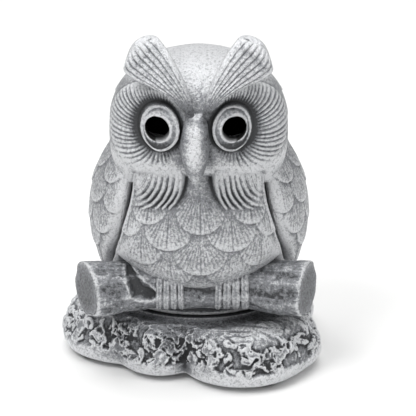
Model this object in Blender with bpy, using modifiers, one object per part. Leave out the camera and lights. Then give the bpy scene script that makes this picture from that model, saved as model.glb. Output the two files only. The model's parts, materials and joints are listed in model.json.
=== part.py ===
"""Cast-iron owl incense burner: an owl-on-a-log cover that lifts off a rock-shaped base.

Frame: +Z up, the owl faces -Y, and the origin lies on the table under the middle of the rock.
The cover is a hollow casting whose round eyes let the smoke out. It drops over a raised lip on
the rock, and inside the lip lie an ash dish, a fibre mat and a small brass stand.
"""

import math

import bmesh
import bpy
from mathutils import Matrix, Vector

MM = 0.001

# Clearances
TOUCH_GAP = 0.3 * MM  # between two faces that rest on each other
LIP_CLEARANCE = 0.6 * MM  # the cover's mouth around the lip
DISH_CLEARANCE = 0.5 * MM  # the ash dish in its well
DISH_AIR_GAP = 1.8 * MM  # air under the dish, which hangs by its rim
MAT_CLEARANCE = 5.6 * MM  # bare floor between the mat and the dish's side
CUT_PAST = 2.0 * MM  # how far a cutter runs past the face it opens

# Cast walls
COVER_WALL = 3.2 * MM
WELL_FLOOR = 3.0 * MM

# Foot pads
PAD_RADIUS = 4.0 * MM
PAD_THICKNESS = 1.6 * MM
PAD_STANDOFF = 1.2 * MM  # the rock's underside above the table
PAD_POCKET_CLEARANCE = 0.3 * MM
PAD_DIRECTIONS = (-52, -165, 138, 42)  # degrees from +X

# Rock base
ROCK_WIDTH = 81.0 * MM
ROCK_DEPTH = 76.0 * MM
ROCK_BULGE_HEIGHT = 5.0 * MM
ROCK_SHOULDER_HEIGHT = 10.5 * MM
ROCK_SHOULDER_INSET = 1.9 * MM
ROCK_CROWN_INWARD = 0.38  # share of the way from the shoulder to the seat, in plan
ROCK_CROWN_RISE = 0.74  # share of the height from the shoulder to the seat
SEAT_HEIGHT = 18.5 * MM
SEAT_BAND = 2.6 * MM  # level band around the cover's rim
SEAT_ROUNDING = 0.9 * MM
LIP_HEIGHT = 3.5 * MM
LIP_WALL = 2.2 * MM  # at the lip's thinnest, in front and behind
LIP_CHAMFER = 0.7 * MM
UNDERSIDE_TUCK = 2.4 * MM  # how far the underside is drawn in from the bulge
UNDERSIDE_RIM = 13.0 * MM
UNDERSIDE_RECESS = 2.4 * MM
UNDERSIDE_ROUNDING = 0.8 * MM

# The cover stands a little to the right of the rock's middle
COVER_X = 2.6 * MM
COVER_Y = 0.5 * MM

# Cover: torso
TORSO_WIDTH = 66.0 * MM
TORSO_DEPTH = 58.0 * MM
BELLY_HEIGHT = 26.5 * MM  # widest level above the seat
SHOULDER_RISE = 33.0 * MM  # from the widest level to the pole inside the head

# Cover: head
HEAD_WIDTH = 54.0 * MM
HEAD_DEPTH = 51.0 * MM
HEAD_HEIGHT = 50.5 * MM
HEAD_CENTRE_HEIGHT = 53.5 * MM  # above the seat
HEAD_SHIFT_Y = -2.5 * MM  # from the torso's middle
HEAD_TURN = math.radians(-2.0)

# Cover: face, heights from the head's centre
EYE_SPACING = 22.4 * MM
EYE_HEIGHT = 7.7 * MM
EYE_BORE_RADIUS = 3.5 * MM
EYE_BORE_LENGTH = 24.0 * MM
EYE_RING_RADIUS = 6.1 * MM
EYE_RING_PROUD = 2.6 * MM
FACE_DISC_RADIUS = 12.8 * MM
FACE_DISC_SPACING = 27.6 * MM
FACE_DISC_HEIGHT = 6.4 * MM
FACE_DISC_PROUD = 2.0 * MM
FACE_DISC_THICKNESS = 14.0 * MM
FACE_DISC_TURN = math.radians(24.0)
BEAK_TOP_HEIGHT = 10.2 * MM
BEAK_LENGTH = 17.2 * MM
BEAK_WIDTH = 8.3 * MM
BEAK_PROUD = 7.0 * MM
BEAK_ROOT_DEPTH = 3.0 * MM  # how far the beak's middle line starts inside the face
BEAK_THICKNESS = 6.4 * MM
BEAK_STATIONS = (  # shares of the length, the width and the proudness
    (0.0, 0.55, 0.15),
    (0.2, 0.85, 0.40),
    (0.45, 1.0, 0.72),
    (0.7, 0.82, 1.0),
    (0.88, 0.5, 0.95),
    (1.0, 0.22, 0.70),
)
TUFT_RISE = 8.5 * MM  # tuft tops above the crown
TUFT_REACH = 17.0 * MM  # tuft middle from the head's middle
TUFT_WIDTH = 14.0 * MM
TUFT_THICKNESS = 7.0 * MM
TUFT_FORWARD = 14.0 * MM  # tuft tips in front of the head's middle

# Cover: wings, tail, log and feet
WING_PROUD = 2.0 * MM
WING_THICKNESS = 20.0 * MM
WING_LENGTH = 50.0 * MM
WING_CHORD = 46.0 * MM
WING_LEAN = math.radians(-16.0)
TAIL_WIDTH = 22.0 * MM
TAIL_THICKNESS = 6.0 * MM
TAIL_DROP = 25.0 * MM  # tail tip below the belly's widest level
TAIL_STATIONS = (  # share of the drop, distance out from the back, share of the width
    (-0.25, -5.0 * MM, 0.6),
    (0.2, -1.6 * MM, 0.85),
    (0.6, 0.2 * MM, 1.0),
    (0.86, 0.6 * MM, 0.94),
    (1.0, 0.2 * MM, 0.7),
)
WING_SHIFT_Y = 1.5 * MM
WING_LIFT = 3.0 * MM  # wing's middle above the belly's widest level
LOG_RADIUS = 7.6 * MM
LOG_FLARE = 0.9 * MM  # extra radius at the two ends
LOG_EDGE = 0.6 * MM
LOG_LEFT = 34.6 * MM
LOG_RIGHT = 33.4 * MM
LOG_CUT_LEFT = math.radians(24.0)
LOG_CUT_RIGHT = math.radians(20.0)
LOG_SLIM_FROM = 0.45  # share of the half length inside which the log keeps its plain radius
LOG_CUT_FADE = 1 / 3  # share of the end's slant left there
TOE_STANDOFF = 0.1  # share of the toes' thickness that stands their middle line off the log
LOG_FORWARD = 19.5 * MM  # log axis in front of the torso's middle
LOG_LIFT = 0.4 * MM  # log's underside above the cover's rim
TOE_WIDTH = 2.5 * MM
TOE_THICKNESS = 2.6 * MM
TOE_PITCH = 2.65 * MM
TOE_COUNT = 4
TOE_STATIONS = (  # degrees below straight ahead from the log's axis, and share of the size
    (-62, 0.7),
    (-40, 0.95),
    (-15, 1.0),
    (10, 1.0),
    (34, 0.9),
    (48, 0.5),
)
FOOT_SPACING = 18.6 * MM
FOOT_SHIFT_X = 1.2 * MM

# Ash dish, mat and stand
DISH_RADIUS = 15.5 * MM
DISH_DEPTH = 10.0 * MM
DISH_BEND = 1.0 * MM  # width and height of the bevel between the floor and the upright wall
DISH_SHEET = 0.9 * MM
DISH_RIM = 1.6 * MM
MAT_THICKNESS = 2.0 * MM
MAT_ROUNDING = 0.4 * MM
STAND_RADIUS = 5.5 * MM
STAND_HEIGHT = 7.0 * MM
STAND_FOOT_THICKNESS = 1.4 * MM
STAND_NECK_RADIUS = 2.6 * MM
STAND_BORE_RADIUS = 1.2 * MM
STAND_BORE_DEPTH = 5.0 * MM
STAND_CHAMFER = 0.5 * MM
STAND_FLANK = ((0.72, 0.28), (0.40, 0.55))  # shares of the foot's radius and of the height
STAND_NECK_START = 0.78  # share of the height

# Derived levels and places
COVER_RIM_Z = SEAT_HEIGHT + TOUCH_GAP
BELLY_Z = SEAT_HEIGHT + BELLY_HEIGHT
HEAD_Z = SEAT_HEIGHT + HEAD_CENTRE_HEIGHT
HEAD_Y = COVER_Y + HEAD_SHIFT_Y
CROWN_Z = HEAD_Z + HEAD_HEIGHT / 2
LIP_TOP_Z = SEAT_HEIGHT + LIP_HEIGHT
DEPTH_RATIO = TORSO_DEPTH / TORSO_WIDTH
FOOT_HALF_DEPTH = DISH_RADIUS + DISH_CLEARANCE + LIP_WALL + LIP_CLEARANCE + COVER_WALL
FOOT_HALF_WIDTH = FOOT_HALF_DEPTH / DEPTH_RATIO
DISH_WALL_RADIUS = DISH_RADIUS - DISH_RIM
DISH_FLOOR_RADIUS = DISH_WALL_RADIUS - DISH_BEND
SHEET_CORNER = DISH_SHEET * math.tan(math.pi / 8)  # inner corner's shift where the sheet bends 45 degrees
MAT_RADIUS = DISH_FLOOR_RADIUS - SHEET_CORNER - MAT_CLEARANCE
DISH_RIM_Z = LIP_TOP_Z - DISH_SHEET
DISH_FLOOR_Z = LIP_TOP_Z - DISH_DEPTH
MAT_Z = DISH_FLOOR_Z + DISH_SHEET + TOUCH_GAP
STAND_Z = MAT_Z + MAT_THICKNESS + TOUCH_GAP
LOG_Y = COVER_Y - LOG_FORWARD
LOG_Z = COVER_RIM_Z + LOG_LIFT + LOG_RADIUS + LOG_FLARE

# Round lobes of the rock in plan: middle X, middle Y and radius, as shares of half its width
LOBE_BLEND = 22  # higher makes the notches between lobes sharper
ROCK_LOBES = (
    (-0.47, 0.02, 0.54),
    (-0.23, -0.43, 0.31),
    (0.40, -0.47, 0.48),
    (0.68, -0.32, 0.33),
    (0.42, 0.04, 0.46),
    (0.54, 0.42, 0.45),
    (0.05, 0.49, 0.45),
    (-0.44, 0.42, 0.40),
)


# ---------------------------------------------------------------- scene helpers


def clear_scene():
    for obj in list(bpy.data.objects):
        bpy.data.objects.remove(obj, do_unlink=True)


def new_collection(name):
    collection = bpy.data.collections.new(name)
    bpy.context.scene.collection.children.link(collection)
    return collection


def principled(name, colour, roughness, metallic):
    material = bpy.data.materials.new(name)
    material.use_nodes = True
    shader = material.node_tree.nodes["Principled BSDF"]
    shader.inputs["Base Color"].default_value = (*colour, 1.0)
    shader.inputs["Roughness"].default_value = roughness
    shader.inputs["Metallic"].default_value = metallic
    return material


def object_from(bm, name, collection, material=None):
    """The finished bmesh as an object, with its faces pointing outwards."""
    bmesh.ops.recalc_face_normals(bm, faces=bm.faces)
    mesh = bpy.data.meshes.new(name)
    bm.to_mesh(mesh)
    bm.free()
    mesh.shade_smooth()
    mesh.set_sharp_from_angle(angle=math.radians(40))
    if material:
        mesh.materials.append(material)
    obj = bpy.data.objects.new(name, mesh)
    collection.objects.link(obj)
    return obj


def as_helper(obj):
    obj.hide_render = True
    obj.display_type = "WIRE"
    return obj


def boolean(target, other, operation):
    modifier = target.modifiers.new(f"{operation.lower()} {other.name}", "BOOLEAN")
    modifier.operation = operation
    modifier.object = as_helper(other)


# ---------------------------------------------------------------- shape helpers


def ellipsoid(name, centre, sizes, collection, segments=40, rings=20, turn=None):
    """A sphere primitive scaled to its three full sizes."""
    bm = bmesh.new()
    bmesh.ops.create_uvsphere(bm, u_segments=segments, v_segments=rings, radius=0.5)
    place = Matrix.Translation(centre) @ (turn or Matrix.Identity(4)) @ Matrix.Diagonal((*sizes, 1.0))
    bmesh.ops.transform(bm, matrix=place, verts=bm.verts)
    return object_from(bm, name, collection)


def cylinder(name, centre, radius, length, collection, segments=32, turn=None, material=None):
    """A cylinder primitive about its own middle, along Z unless it is turned."""
    bm = bmesh.new()
    bmesh.ops.create_cone(
        bm, cap_ends=True, segments=segments, radius1=radius, radius2=radius, depth=length
    )
    place = Matrix.Translation(centre) @ (turn or Matrix.Identity(4))
    bmesh.ops.transform(bm, matrix=place, verts=bm.verts)
    return object_from(bm, name, collection, material)


def turned(name, profile, collection, steps=40, squash=1.0, material=None):
    """A profile of (radius, height) points turned about the cover's axis, then squashed along Y.

    The profile runs from the bottom of the axis, up the outer side and back to the axis, and
    the Screw modifier's result is kept as the object's mesh.
    """
    bm = bmesh.new()
    points = [bm.verts.new((radius, 0, height)) for radius, height in profile]
    for first, second in zip(points, points[1:]):
        bm.edges.new((first, second))
    mesh = bpy.data.meshes.new(name + " profile")
    bm.to_mesh(mesh)
    bm.free()
    profile_object = bpy.data.objects.new(name + " profile", mesh)
    collection.objects.link(profile_object)
    screw = profile_object.modifiers.new("turn", "SCREW")
    screw.steps = screw.render_steps = steps
    screw.use_merge_vertices = True
    screw.merge_threshold = 0.00001
    bpy.context.view_layer.update()
    graph = bpy.context.evaluated_depsgraph_get()
    solid = bpy.data.meshes.new_from_object(profile_object.evaluated_get(graph))
    bpy.data.objects.remove(profile_object)
    bm = bmesh.new()
    bm.from_mesh(solid)
    bpy.data.meshes.remove(solid)
    bmesh.ops.remove_doubles(bm, verts=bm.verts, dist=0.00001)
    place = Matrix.Translation((COVER_X, COVER_Y, 0)) @ Matrix.Diagonal((1, squash, 1, 1))
    bmesh.ops.transform(bm, matrix=place, verts=bm.verts)
    return object_from(bm, name, collection, material)


def loft(name, rings, collection, material=None):
    """A closed solid through rings of equal count, with a flat cap on the first and last."""
    bm = bmesh.new()
    rows = [[bm.verts.new(point) for point in ring] for ring in rings]
    for lower, upper in zip(rows, rows[1:]):
        for i in range(len(lower)):
            j = (i + 1) % len(lower)
            bm.faces.new((lower[i], lower[j], upper[j], upper[i]))
    bm.faces.new(rows[0])
    bm.faces.new(rows[-1])
    return object_from(bm, name, collection, material)


def swept(name, stations, across, collection, sides=12):
    """A loft of ellipses along a path.

    Each station is (centre, half width, half thickness). The width lies along the part of
    "across" that is square to the path, and the thickness is square to both.
    """
    centres = [Vector(station[0]) for station in stations]
    rings = []
    for i, (_, half_width, half_thickness) in enumerate(stations):
        before = centres[max(i - 1, 0)]
        after = centres[min(i + 1, len(centres) - 1)]
        along = (after - before).normalized()
        wide = (Vector(across) - along * along.dot(Vector(across))).normalized()
        thick = along.cross(wide)
        angles = (2 * math.pi * k / sides for k in range(sides))
        rings.append(
            [
                centres[i] + wide * half_width * math.cos(a) + thick * half_thickness * math.sin(a)
                for a in angles
            ]
        )
    return loft(name, rings, collection)


# ---------------------------------------------------------------- rock base


def lobe_reach(angle):
    """How far the blended union of the round lobes reaches from the rock's middle."""
    ahead = (math.cos(angle), math.sin(angle))
    total = 0.0
    for x, y, radius in ROCK_LOBES:
        along = x * ahead[0] + y * ahead[1]
        inside = along * along - (x * x + y * y) + radius * radius
        if inside > 0:
            total += max(0.0, along + math.sqrt(inside)) ** LOBE_BLEND
    return total ** (1 / LOBE_BLEND)


def rock_outline(count=96):
    """Plan points of the rock, centred and scaled so that its box has the stated sides."""
    angles = [2 * math.pi * i / count for i in range(count)]
    raw = [(lobe_reach(a) * math.cos(a), lobe_reach(a) * math.sin(a)) for a in angles]
    lows = [min(p[k] for p in raw) for k in range(2)]
    highs = [max(p[k] for p in raw) for k in range(2)]
    sides = (ROCK_WIDTH, ROCK_DEPTH)
    return [
        tuple((p[k] - (lows[k] + highs[k]) / 2) * sides[k] / (highs[k] - lows[k]) for k in range(2))
        for p in raw
    ]


def inset(outline, amount):
    """The outline drawn in towards the middle by a fixed amount."""
    points = []
    for x, y in outline:
        size = math.hypot(x, y)
        points.append((x * (size - amount) / size, y * (size - amount) / size))
    return points


def seat_ring(outline, margin):
    """An ellipse around the cover's rim, with a point in the direction of each outline point."""
    across = FOOT_HALF_WIDTH + margin
    deep = FOOT_HALF_DEPTH + margin
    points = []
    for x, y in outline:
        angle = math.atan2((y - COVER_Y) / deep, (x - COVER_X) / across)
        points.append((COVER_X + across * math.cos(angle), COVER_Y + deep * math.sin(angle)))
    return points


def between(ring, other, share):
    """A ring part of the way from one ring to another."""
    return [tuple(p + (q - p) * share for p, q in zip(a, b)) for a, b in zip(ring, other)]


def at_height(ring, height):
    return [(x, y, height) for x, y in ring]


def pad_places():
    """Pad middles, in the given directions, on the middle of the rock's flat underside rim."""
    outline = inset(rock_outline(), (UNDERSIDE_TUCK + UNDERSIDE_RIM) / 2)
    places = []
    for degrees in PAD_DIRECTIONS:
        ahead = Vector((math.cos(math.radians(degrees)), math.sin(math.radians(degrees))))
        places.append(max(outline, key=lambda p: Vector(p).normalized().dot(ahead)))
    return places


def cut_well(rock, helpers):
    """The stepped well: a rebate for the dish's rim, and a bore that follows its side."""
    rebate = DISH_RADIUS + DISH_CLEARANCE
    bore = DISH_WALL_RADIUS + DISH_CLEARANCE
    floor = DISH_FLOOR_Z - DISH_AIR_GAP
    above = LIP_TOP_Z + CUT_PAST
    profile = (
        (0, floor),
        (DISH_FLOOR_RADIUS + DISH_CLEARANCE, floor),
        (bore, floor + DISH_BEND),
        (bore, DISH_RIM_Z - TOUCH_GAP),
        (rebate, DISH_RIM_Z - TOUCH_GAP),
        (rebate, above),
        (0, above),
    )
    boolean(rock, turned("well", profile, helpers, steps=48), "DIFFERENCE")
    return floor


def cut_underside(rock, helpers, outline, well_floor):
    """A shallow recess that leaves a rim to stand on, and a pocket for each pad in the rim."""
    roof = min(PAD_STANDOFF + UNDERSIDE_RECESS, well_floor - WELL_FLOOR)
    recess = loft(
        "underside recess",
        (
            at_height(inset(outline, UNDERSIDE_RIM), -CUT_PAST),
            at_height(inset(outline, UNDERSIDE_RIM), roof - UNDERSIDE_ROUNDING),
            at_height(inset(outline, UNDERSIDE_RIM + UNDERSIDE_ROUNDING), roof),
        ),
        helpers,
    )
    boolean(rock, recess, "DIFFERENCE")
    for number, place in enumerate(pad_places(), 1):
        top = PAD_THICKNESS + TOUCH_GAP
        pocket = cylinder(
            f"pad pocket {number}",
            (*place, (top - CUT_PAST) / 2),
            PAD_RADIUS + PAD_POCKET_CLEARANCE,
            top + CUT_PAST,
            helpers,
            segments=24,
        )
        boolean(rock, pocket, "DIFFERENCE")


def make_rock_base(parts, helpers, material):
    outline = rock_outline()
    shoulder = inset(outline, ROCK_SHOULDER_INSET)
    crest = seat_ring(outline, SEAT_BAND)
    crown_height = ROCK_SHOULDER_HEIGHT + ROCK_CROWN_RISE * (SEAT_HEIGHT - ROCK_SHOULDER_HEIGHT)
    rock = loft(
        "rock_base",
        (
            at_height(inset(outline, UNDERSIDE_TUCK), PAD_STANDOFF),
            at_height(inset(outline, UNDERSIDE_TUCK / 3), (PAD_STANDOFF + ROCK_BULGE_HEIGHT) / 2),
            at_height(outline, ROCK_BULGE_HEIGHT),
            at_height(shoulder, ROCK_SHOULDER_HEIGHT),
            at_height(between(shoulder, crest, ROCK_CROWN_INWARD), crown_height),
            at_height(crest, SEAT_HEIGHT - SEAT_ROUNDING),
            at_height(seat_ring(outline, SEAT_BAND - SEAT_ROUNDING), SEAT_HEIGHT),
        ),
        parts,
        material,
    )
    mouth = FOOT_HALF_WIDTH - COVER_WALL - LIP_CLEARANCE
    mouth_deep = FOOT_HALF_DEPTH - COVER_WALL - LIP_CLEARANCE
    root = SEAT_HEIGHT - CUT_PAST
    profile = (
        (0, root),
        (mouth, root),
        (mouth, LIP_TOP_Z - LIP_CHAMFER),
        (mouth - LIP_CHAMFER, LIP_TOP_Z),
        (0, LIP_TOP_Z),
    )
    lip = turned("lip", profile, helpers, steps=64, squash=mouth_deep / mouth)
    boolean(rock, lip, "UNION")
    well_floor = cut_well(rock, helpers)
    cut_underside(rock, helpers, outline, well_floor)


def make_foot_pads(parts, material):
    for number, place in enumerate(pad_places(), 1):
        cylinder(
            f"foot_pad_{number}",
            (*place, PAD_THICKNESS / 2),
            PAD_RADIUS,
            PAD_THICKNESS,
            parts,
            segments=24,
            material=material,
        )


# ---------------------------------------------------------------- owl cover


def torso_profile(bottom, wall, count=9):
    """Profile points of the torso, or of its hollow when a wall is taken off.

    Below its widest level the torso's half width is a cosine, and above it an ellipse.
    """
    foot = FOOT_HALF_WIDTH
    swell = TORSO_WIDTH / 2 - foot
    points = [(0, bottom)]
    for i in range(count):
        height = bottom + (BELLY_Z - bottom) * i / count
        share = min(1.0, (BELLY_Z - height) / BELLY_HEIGHT)
        points.append((foot + swell * math.cos(share * math.pi / 2) - wall, height))
    rise = SHOULDER_RISE - wall
    for i in range(count):
        angle = i / count * math.pi / 2
        radius = (TORSO_WIDTH / 2 - wall) * math.cos(angle)
        points.append((radius, BELLY_Z + rise * math.sin(angle)))
    points.append((0, BELLY_Z + rise))
    return points


def head_frame():
    return Matrix.Translation((COVER_X, HEAD_Y, HEAD_Z)) @ Matrix.Rotation(HEAD_TURN, 4, "Z")


def on_face(x, up, proud):
    """A point of the turned head: x from its middle, up from its centre, proud of its front."""
    share = 1 - (x / (HEAD_WIDTH / 2)) ** 2 - (up / (HEAD_HEIGHT / 2)) ** 2
    front = -HEAD_DEPTH / 2 * math.sqrt(max(0.05, share)) - proud
    return head_frame() @ Vector((x, front, up))


def add_face(cover, helpers):
    for side, label in ((-1, "left"), (1, "right")):
        middle = on_face(
            side * FACE_DISC_SPACING / 2,
            FACE_DISC_HEIGHT,
            FACE_DISC_PROUD - FACE_DISC_THICKNESS / 2,
        )
        disc = ellipsoid(
            f"face disc {label}",
            middle,
            (2 * FACE_DISC_RADIUS, FACE_DISC_THICKNESS, 2 * FACE_DISC_RADIUS),
            helpers,
            segments=28,
            rings=14,
            turn=Matrix.Rotation(side * FACE_DISC_TURN, 4, "Z"),
        )
        boolean(cover, disc, "UNION")
        ring = cylinder(
            f"eye ring {label}",
            on_face(side * EYE_SPACING / 2, EYE_HEIGHT, 0),
            EYE_RING_RADIUS,
            2 * EYE_RING_PROUD,
            helpers,
            segments=32,
            turn=Matrix.Rotation(side * FACE_DISC_TURN / 2, 4, "Z") @ Matrix.Rotation(math.pi / 2, 4, "X"),
        )
        boolean(cover, ring, "UNION")


def add_beak(cover, helpers):
    """The beak swells from the bridge and hooks back in at its tip."""
    stations = []
    for share, wide, proud in BEAK_STATIONS:
        up = BEAK_TOP_HEIGHT - share * BEAK_LENGTH
        centre = on_face(0, up, proud * BEAK_PROUD - BEAK_ROOT_DEPTH)
        stations.append((centre, wide * BEAK_WIDTH / 2, wide * BEAK_THICKNESS / 2))
    boolean(cover, swept("beak", stations, (1, 0, 0), helpers), "UNION")


def add_tufts(cover, helpers):
    """Brows that start at the beak's root and rise past the crown as broad ear tufts."""
    for side, label in ((-1, "left"), (1, "right")):
        root = on_face(side * 1.2 * MM, BEAK_TOP_HEIGHT, 0)
        brow = on_face(side * 0.55 * TUFT_REACH, 0.8 * HEAD_HEIGHT / 2, 0.5 * MM)
        tip_height = CROWN_Z - HEAD_Z + TUFT_RISE - 0.55 * TUFT_WIDTH
        tip = head_frame() @ Vector((side * TUFT_REACH, -TUFT_FORWARD, tip_height))
        onward = (tip - brow).normalized()
        half = TUFT_WIDTH / 2
        deep = TUFT_THICKNESS / 2
        stations = (
            (root, 0.26 * half, 0.4 * deep),
            (root.lerp(brow, 0.45) + Vector((0, -0.9 * MM, 0)), 0.5 * half, 0.75 * deep),
            (brow, 0.74 * half, deep),
            (brow.lerp(tip, 0.55) + Vector((0, -0.6 * MM, 0)), 0.92 * half, deep),
            (tip, half, 0.9 * deep),
            (tip + onward * 0.22 * TUFT_WIDTH, 0.9 * half, 0.7 * deep),
            (tip + onward * 0.32 * TUFT_WIDTH, 0.66 * half, 0.4 * deep),
        )
        tuft = swept(f"tuft {label}", stations, (side * 0.74, 0, -0.67), helpers, sides=16)
        boolean(cover, tuft, "UNION")


def add_wings_and_tail(cover, helpers):
    for side, label in ((-1, "left"), (1, "right")):
        out = TORSO_WIDTH / 2 + WING_PROUD - WING_THICKNESS / 2
        wing = ellipsoid(
            f"wing {label}",
            (COVER_X + side * out, COVER_Y + WING_SHIFT_Y, BELLY_Z + WING_LIFT),
            (WING_THICKNESS, WING_CHORD, WING_LENGTH),
            helpers,
            segments=28,
            rings=16,
            turn=Matrix.Rotation(WING_LEAN, 4, "X"),
        )
        boolean(cover, wing, "UNION")

    back = COVER_Y + TORSO_DEPTH / 2
    tail = []
    for share, out, wide in TAIL_STATIONS:
        centre = (COVER_X, back + out - TAIL_THICKNESS / 4, BELLY_Z - share * TAIL_DROP)
        tail.append((centre, wide * TAIL_WIDTH / 2, wide * TAIL_THICKNESS / 2))
    boolean(cover, swept("tail", tail, (1, 0, 0), helpers), "UNION")


def log_ring(x, radius, cut, sides=28):
    """A section of the log at x, slanted so that its front edge lies nearer the middle."""
    points = []
    for k in range(sides):
        angle = 2 * math.pi * k / sides
        y = radius * math.cos(angle)
        points.append((COVER_X + x + y * math.tan(cut), LOG_Y + y, LOG_Z + radius * math.sin(angle)))
    return points


def add_log_and_feet(cover, helpers):
    flared = LOG_RADIUS + LOG_FLARE
    left = -LOG_LEFT + flared * math.tan(LOG_CUT_LEFT)
    right = LOG_RIGHT - flared * math.tan(LOG_CUT_RIGHT)
    rings = (
        log_ring(left, flared - LOG_EDGE, -LOG_CUT_LEFT),
        log_ring(left + LOG_EDGE, flared, -LOG_CUT_LEFT),
        log_ring(LOG_SLIM_FROM * left, LOG_RADIUS, -LOG_CUT_LEFT * LOG_CUT_FADE),
        log_ring(LOG_SLIM_FROM * right, LOG_RADIUS, LOG_CUT_RIGHT * LOG_CUT_FADE),
        log_ring(right - LOG_EDGE, flared, LOG_CUT_RIGHT),
        log_ring(right, flared - LOG_EDGE, LOG_CUT_RIGHT),
    )
    boolean(cover, loft("log", rings, helpers), "UNION")

    reach = LOG_RADIUS + TOE_STANDOFF * TOE_THICKNESS
    for side in (-1, 1):
        for number in range(TOE_COUNT):
            along = (number - (TOE_COUNT - 1) / 2) * TOE_PITCH
            x = COVER_X + FOOT_SHIFT_X + side * FOOT_SPACING / 2 + along
            stations = []
            for degrees, size in TOE_STATIONS:
                angle = math.radians(degrees)
                centre = (x, LOG_Y - reach * math.cos(angle), LOG_Z - reach * math.sin(angle))
                stations.append((centre, size * TOE_WIDTH / 2, size * TOE_THICKNESS / 2))
            toe = swept(f"toe {side} {number + 1}", stations, (1, 0, 0), helpers, sides=10)
            boolean(cover, toe, "UNION")


def cut_hollow(cover, helpers):
    """The smoke chamber, one wall inside the torso and the head, and the two eye bores."""
    mouth = FOOT_HALF_WIDTH - COVER_WALL
    hollow = turned(
        "torso hollow",
        torso_profile(COVER_RIM_Z - CUT_PAST, COVER_WALL, count=7),
        helpers,
        steps=40,
        squash=(FOOT_HALF_DEPTH - COVER_WALL) / mouth,
    )
    boolean(cover, hollow, "DIFFERENCE")
    head_hollow = ellipsoid(
        "head hollow",
        (COVER_X, HEAD_Y, HEAD_Z),
        [size - 2 * COVER_WALL for size in (HEAD_WIDTH, HEAD_DEPTH, HEAD_HEIGHT)],
        helpers,
        segments=32,
        rings=16,
    )
    boolean(cover, head_hollow, "DIFFERENCE")
    for side, label in ((-1, "left"), (1, "right")):
        bore = cylinder(
            f"eye bore {label}",
            on_face(side * EYE_SPACING / 2, EYE_HEIGHT, 0),
            EYE_BORE_RADIUS,
            EYE_BORE_LENGTH,
            helpers,
            segments=32,
            turn=Matrix.Rotation(math.pi / 2, 4, "X"),
        )
        boolean(cover, bore, "DIFFERENCE")


def make_owl_cover(parts, helpers, material):
    profile = torso_profile(COVER_RIM_Z, 0)
    cover = turned("owl_cover", profile, parts, steps=44, squash=DEPTH_RATIO, material=material)
    head = ellipsoid(
        "head", (COVER_X, HEAD_Y, HEAD_Z), (HEAD_WIDTH, HEAD_DEPTH, HEAD_HEIGHT), helpers
    )
    boolean(cover, head, "UNION")
    add_wings_and_tail(cover, helpers)
    add_log_and_feet(cover, helpers)
    add_tufts(cover, helpers)
    add_face(cover, helpers)
    add_beak(cover, helpers)
    cut_hollow(cover, helpers)


# ---------------------------------------------------------------- loose pieces inside


def make_ash_dish(parts, material):
    """A pressed cup: flat floor, upright side and a narrow rim that hangs in the rebate."""
    under = DISH_FLOOR_Z
    over = DISH_FLOOR_Z + DISH_SHEET
    inner_wall = DISH_WALL_RADIUS - DISH_SHEET
    turned(
        "ash_dish",
        (
            (0, under),
            (DISH_FLOOR_RADIUS, under),
            (DISH_WALL_RADIUS, under + DISH_BEND),
            (DISH_WALL_RADIUS, DISH_RIM_Z),
            (DISH_RADIUS, DISH_RIM_Z),
            (DISH_RADIUS, DISH_RIM_Z + DISH_SHEET),
            (inner_wall, DISH_RIM_Z + DISH_SHEET),
            (inner_wall, under + DISH_BEND + SHEET_CORNER),
            (DISH_FLOOR_RADIUS - SHEET_CORNER, over),
            (0, over),
        ),
        parts,
        steps=36,
        material=material,
    )


def make_fibre_mat(parts, material):
    top = MAT_Z + MAT_THICKNESS
    inner = MAT_RADIUS - MAT_ROUNDING
    turned(
        "fibre_mat",
        (
            (0, MAT_Z),
            (inner, MAT_Z),
            (MAT_RADIUS, MAT_Z + MAT_ROUNDING),
            (MAT_RADIUS, top - MAT_ROUNDING),
            (inner, top),
            (0, top),
        ),
        parts,
        steps=32,
        material=material,
    )


def make_stick_stand(parts, material):
    """A small turned stand: a foot disc, a hollowed flank and a neck bored for a stick."""
    top = STAND_Z + STAND_HEIGHT
    turned(
        "stick_stand",
        (
            (0, STAND_Z),
            (STAND_RADIUS, STAND_Z),
            (STAND_RADIUS, STAND_Z + STAND_FOOT_THICKNESS),
            *((r * STAND_RADIUS, STAND_Z + z * STAND_HEIGHT) for r, z in STAND_FLANK),
            (STAND_NECK_RADIUS, STAND_Z + STAND_NECK_START * STAND_HEIGHT),
            (STAND_NECK_RADIUS, top - STAND_CHAMFER),
            (STAND_NECK_RADIUS - STAND_CHAMFER, top),
            (STAND_BORE_RADIUS, top),
            (STAND_BORE_RADIUS, top - STAND_BORE_DEPTH),
            (0, top - STAND_BORE_DEPTH),
        ),
        parts,
        steps=24,
        material=material,
    )


def main():
    clear_scene()
    parts = new_collection("owl_incense_burner")
    helpers = new_collection("cutters")
    iron = principled("silvered cast iron", (0.50, 0.51, 0.53), 0.45, 0.85)
    brass = principled("brass", (0.72, 0.53, 0.24), 0.35, 1.0)
    fibre = principled("glass fibre felt", (0.82, 0.80, 0.75), 0.95, 0.0)
    felt = principled("black felt", (0.03, 0.03, 0.03), 0.95, 0.0)
    make_rock_base(parts, helpers, iron)
    make_foot_pads(parts, felt)
    make_owl_cover(parts, helpers, iron)
    make_ash_dish(parts, brass)
    make_fibre_mat(parts, fibre)
    make_stick_stand(parts, brass)


main()
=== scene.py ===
import json
import math

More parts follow.
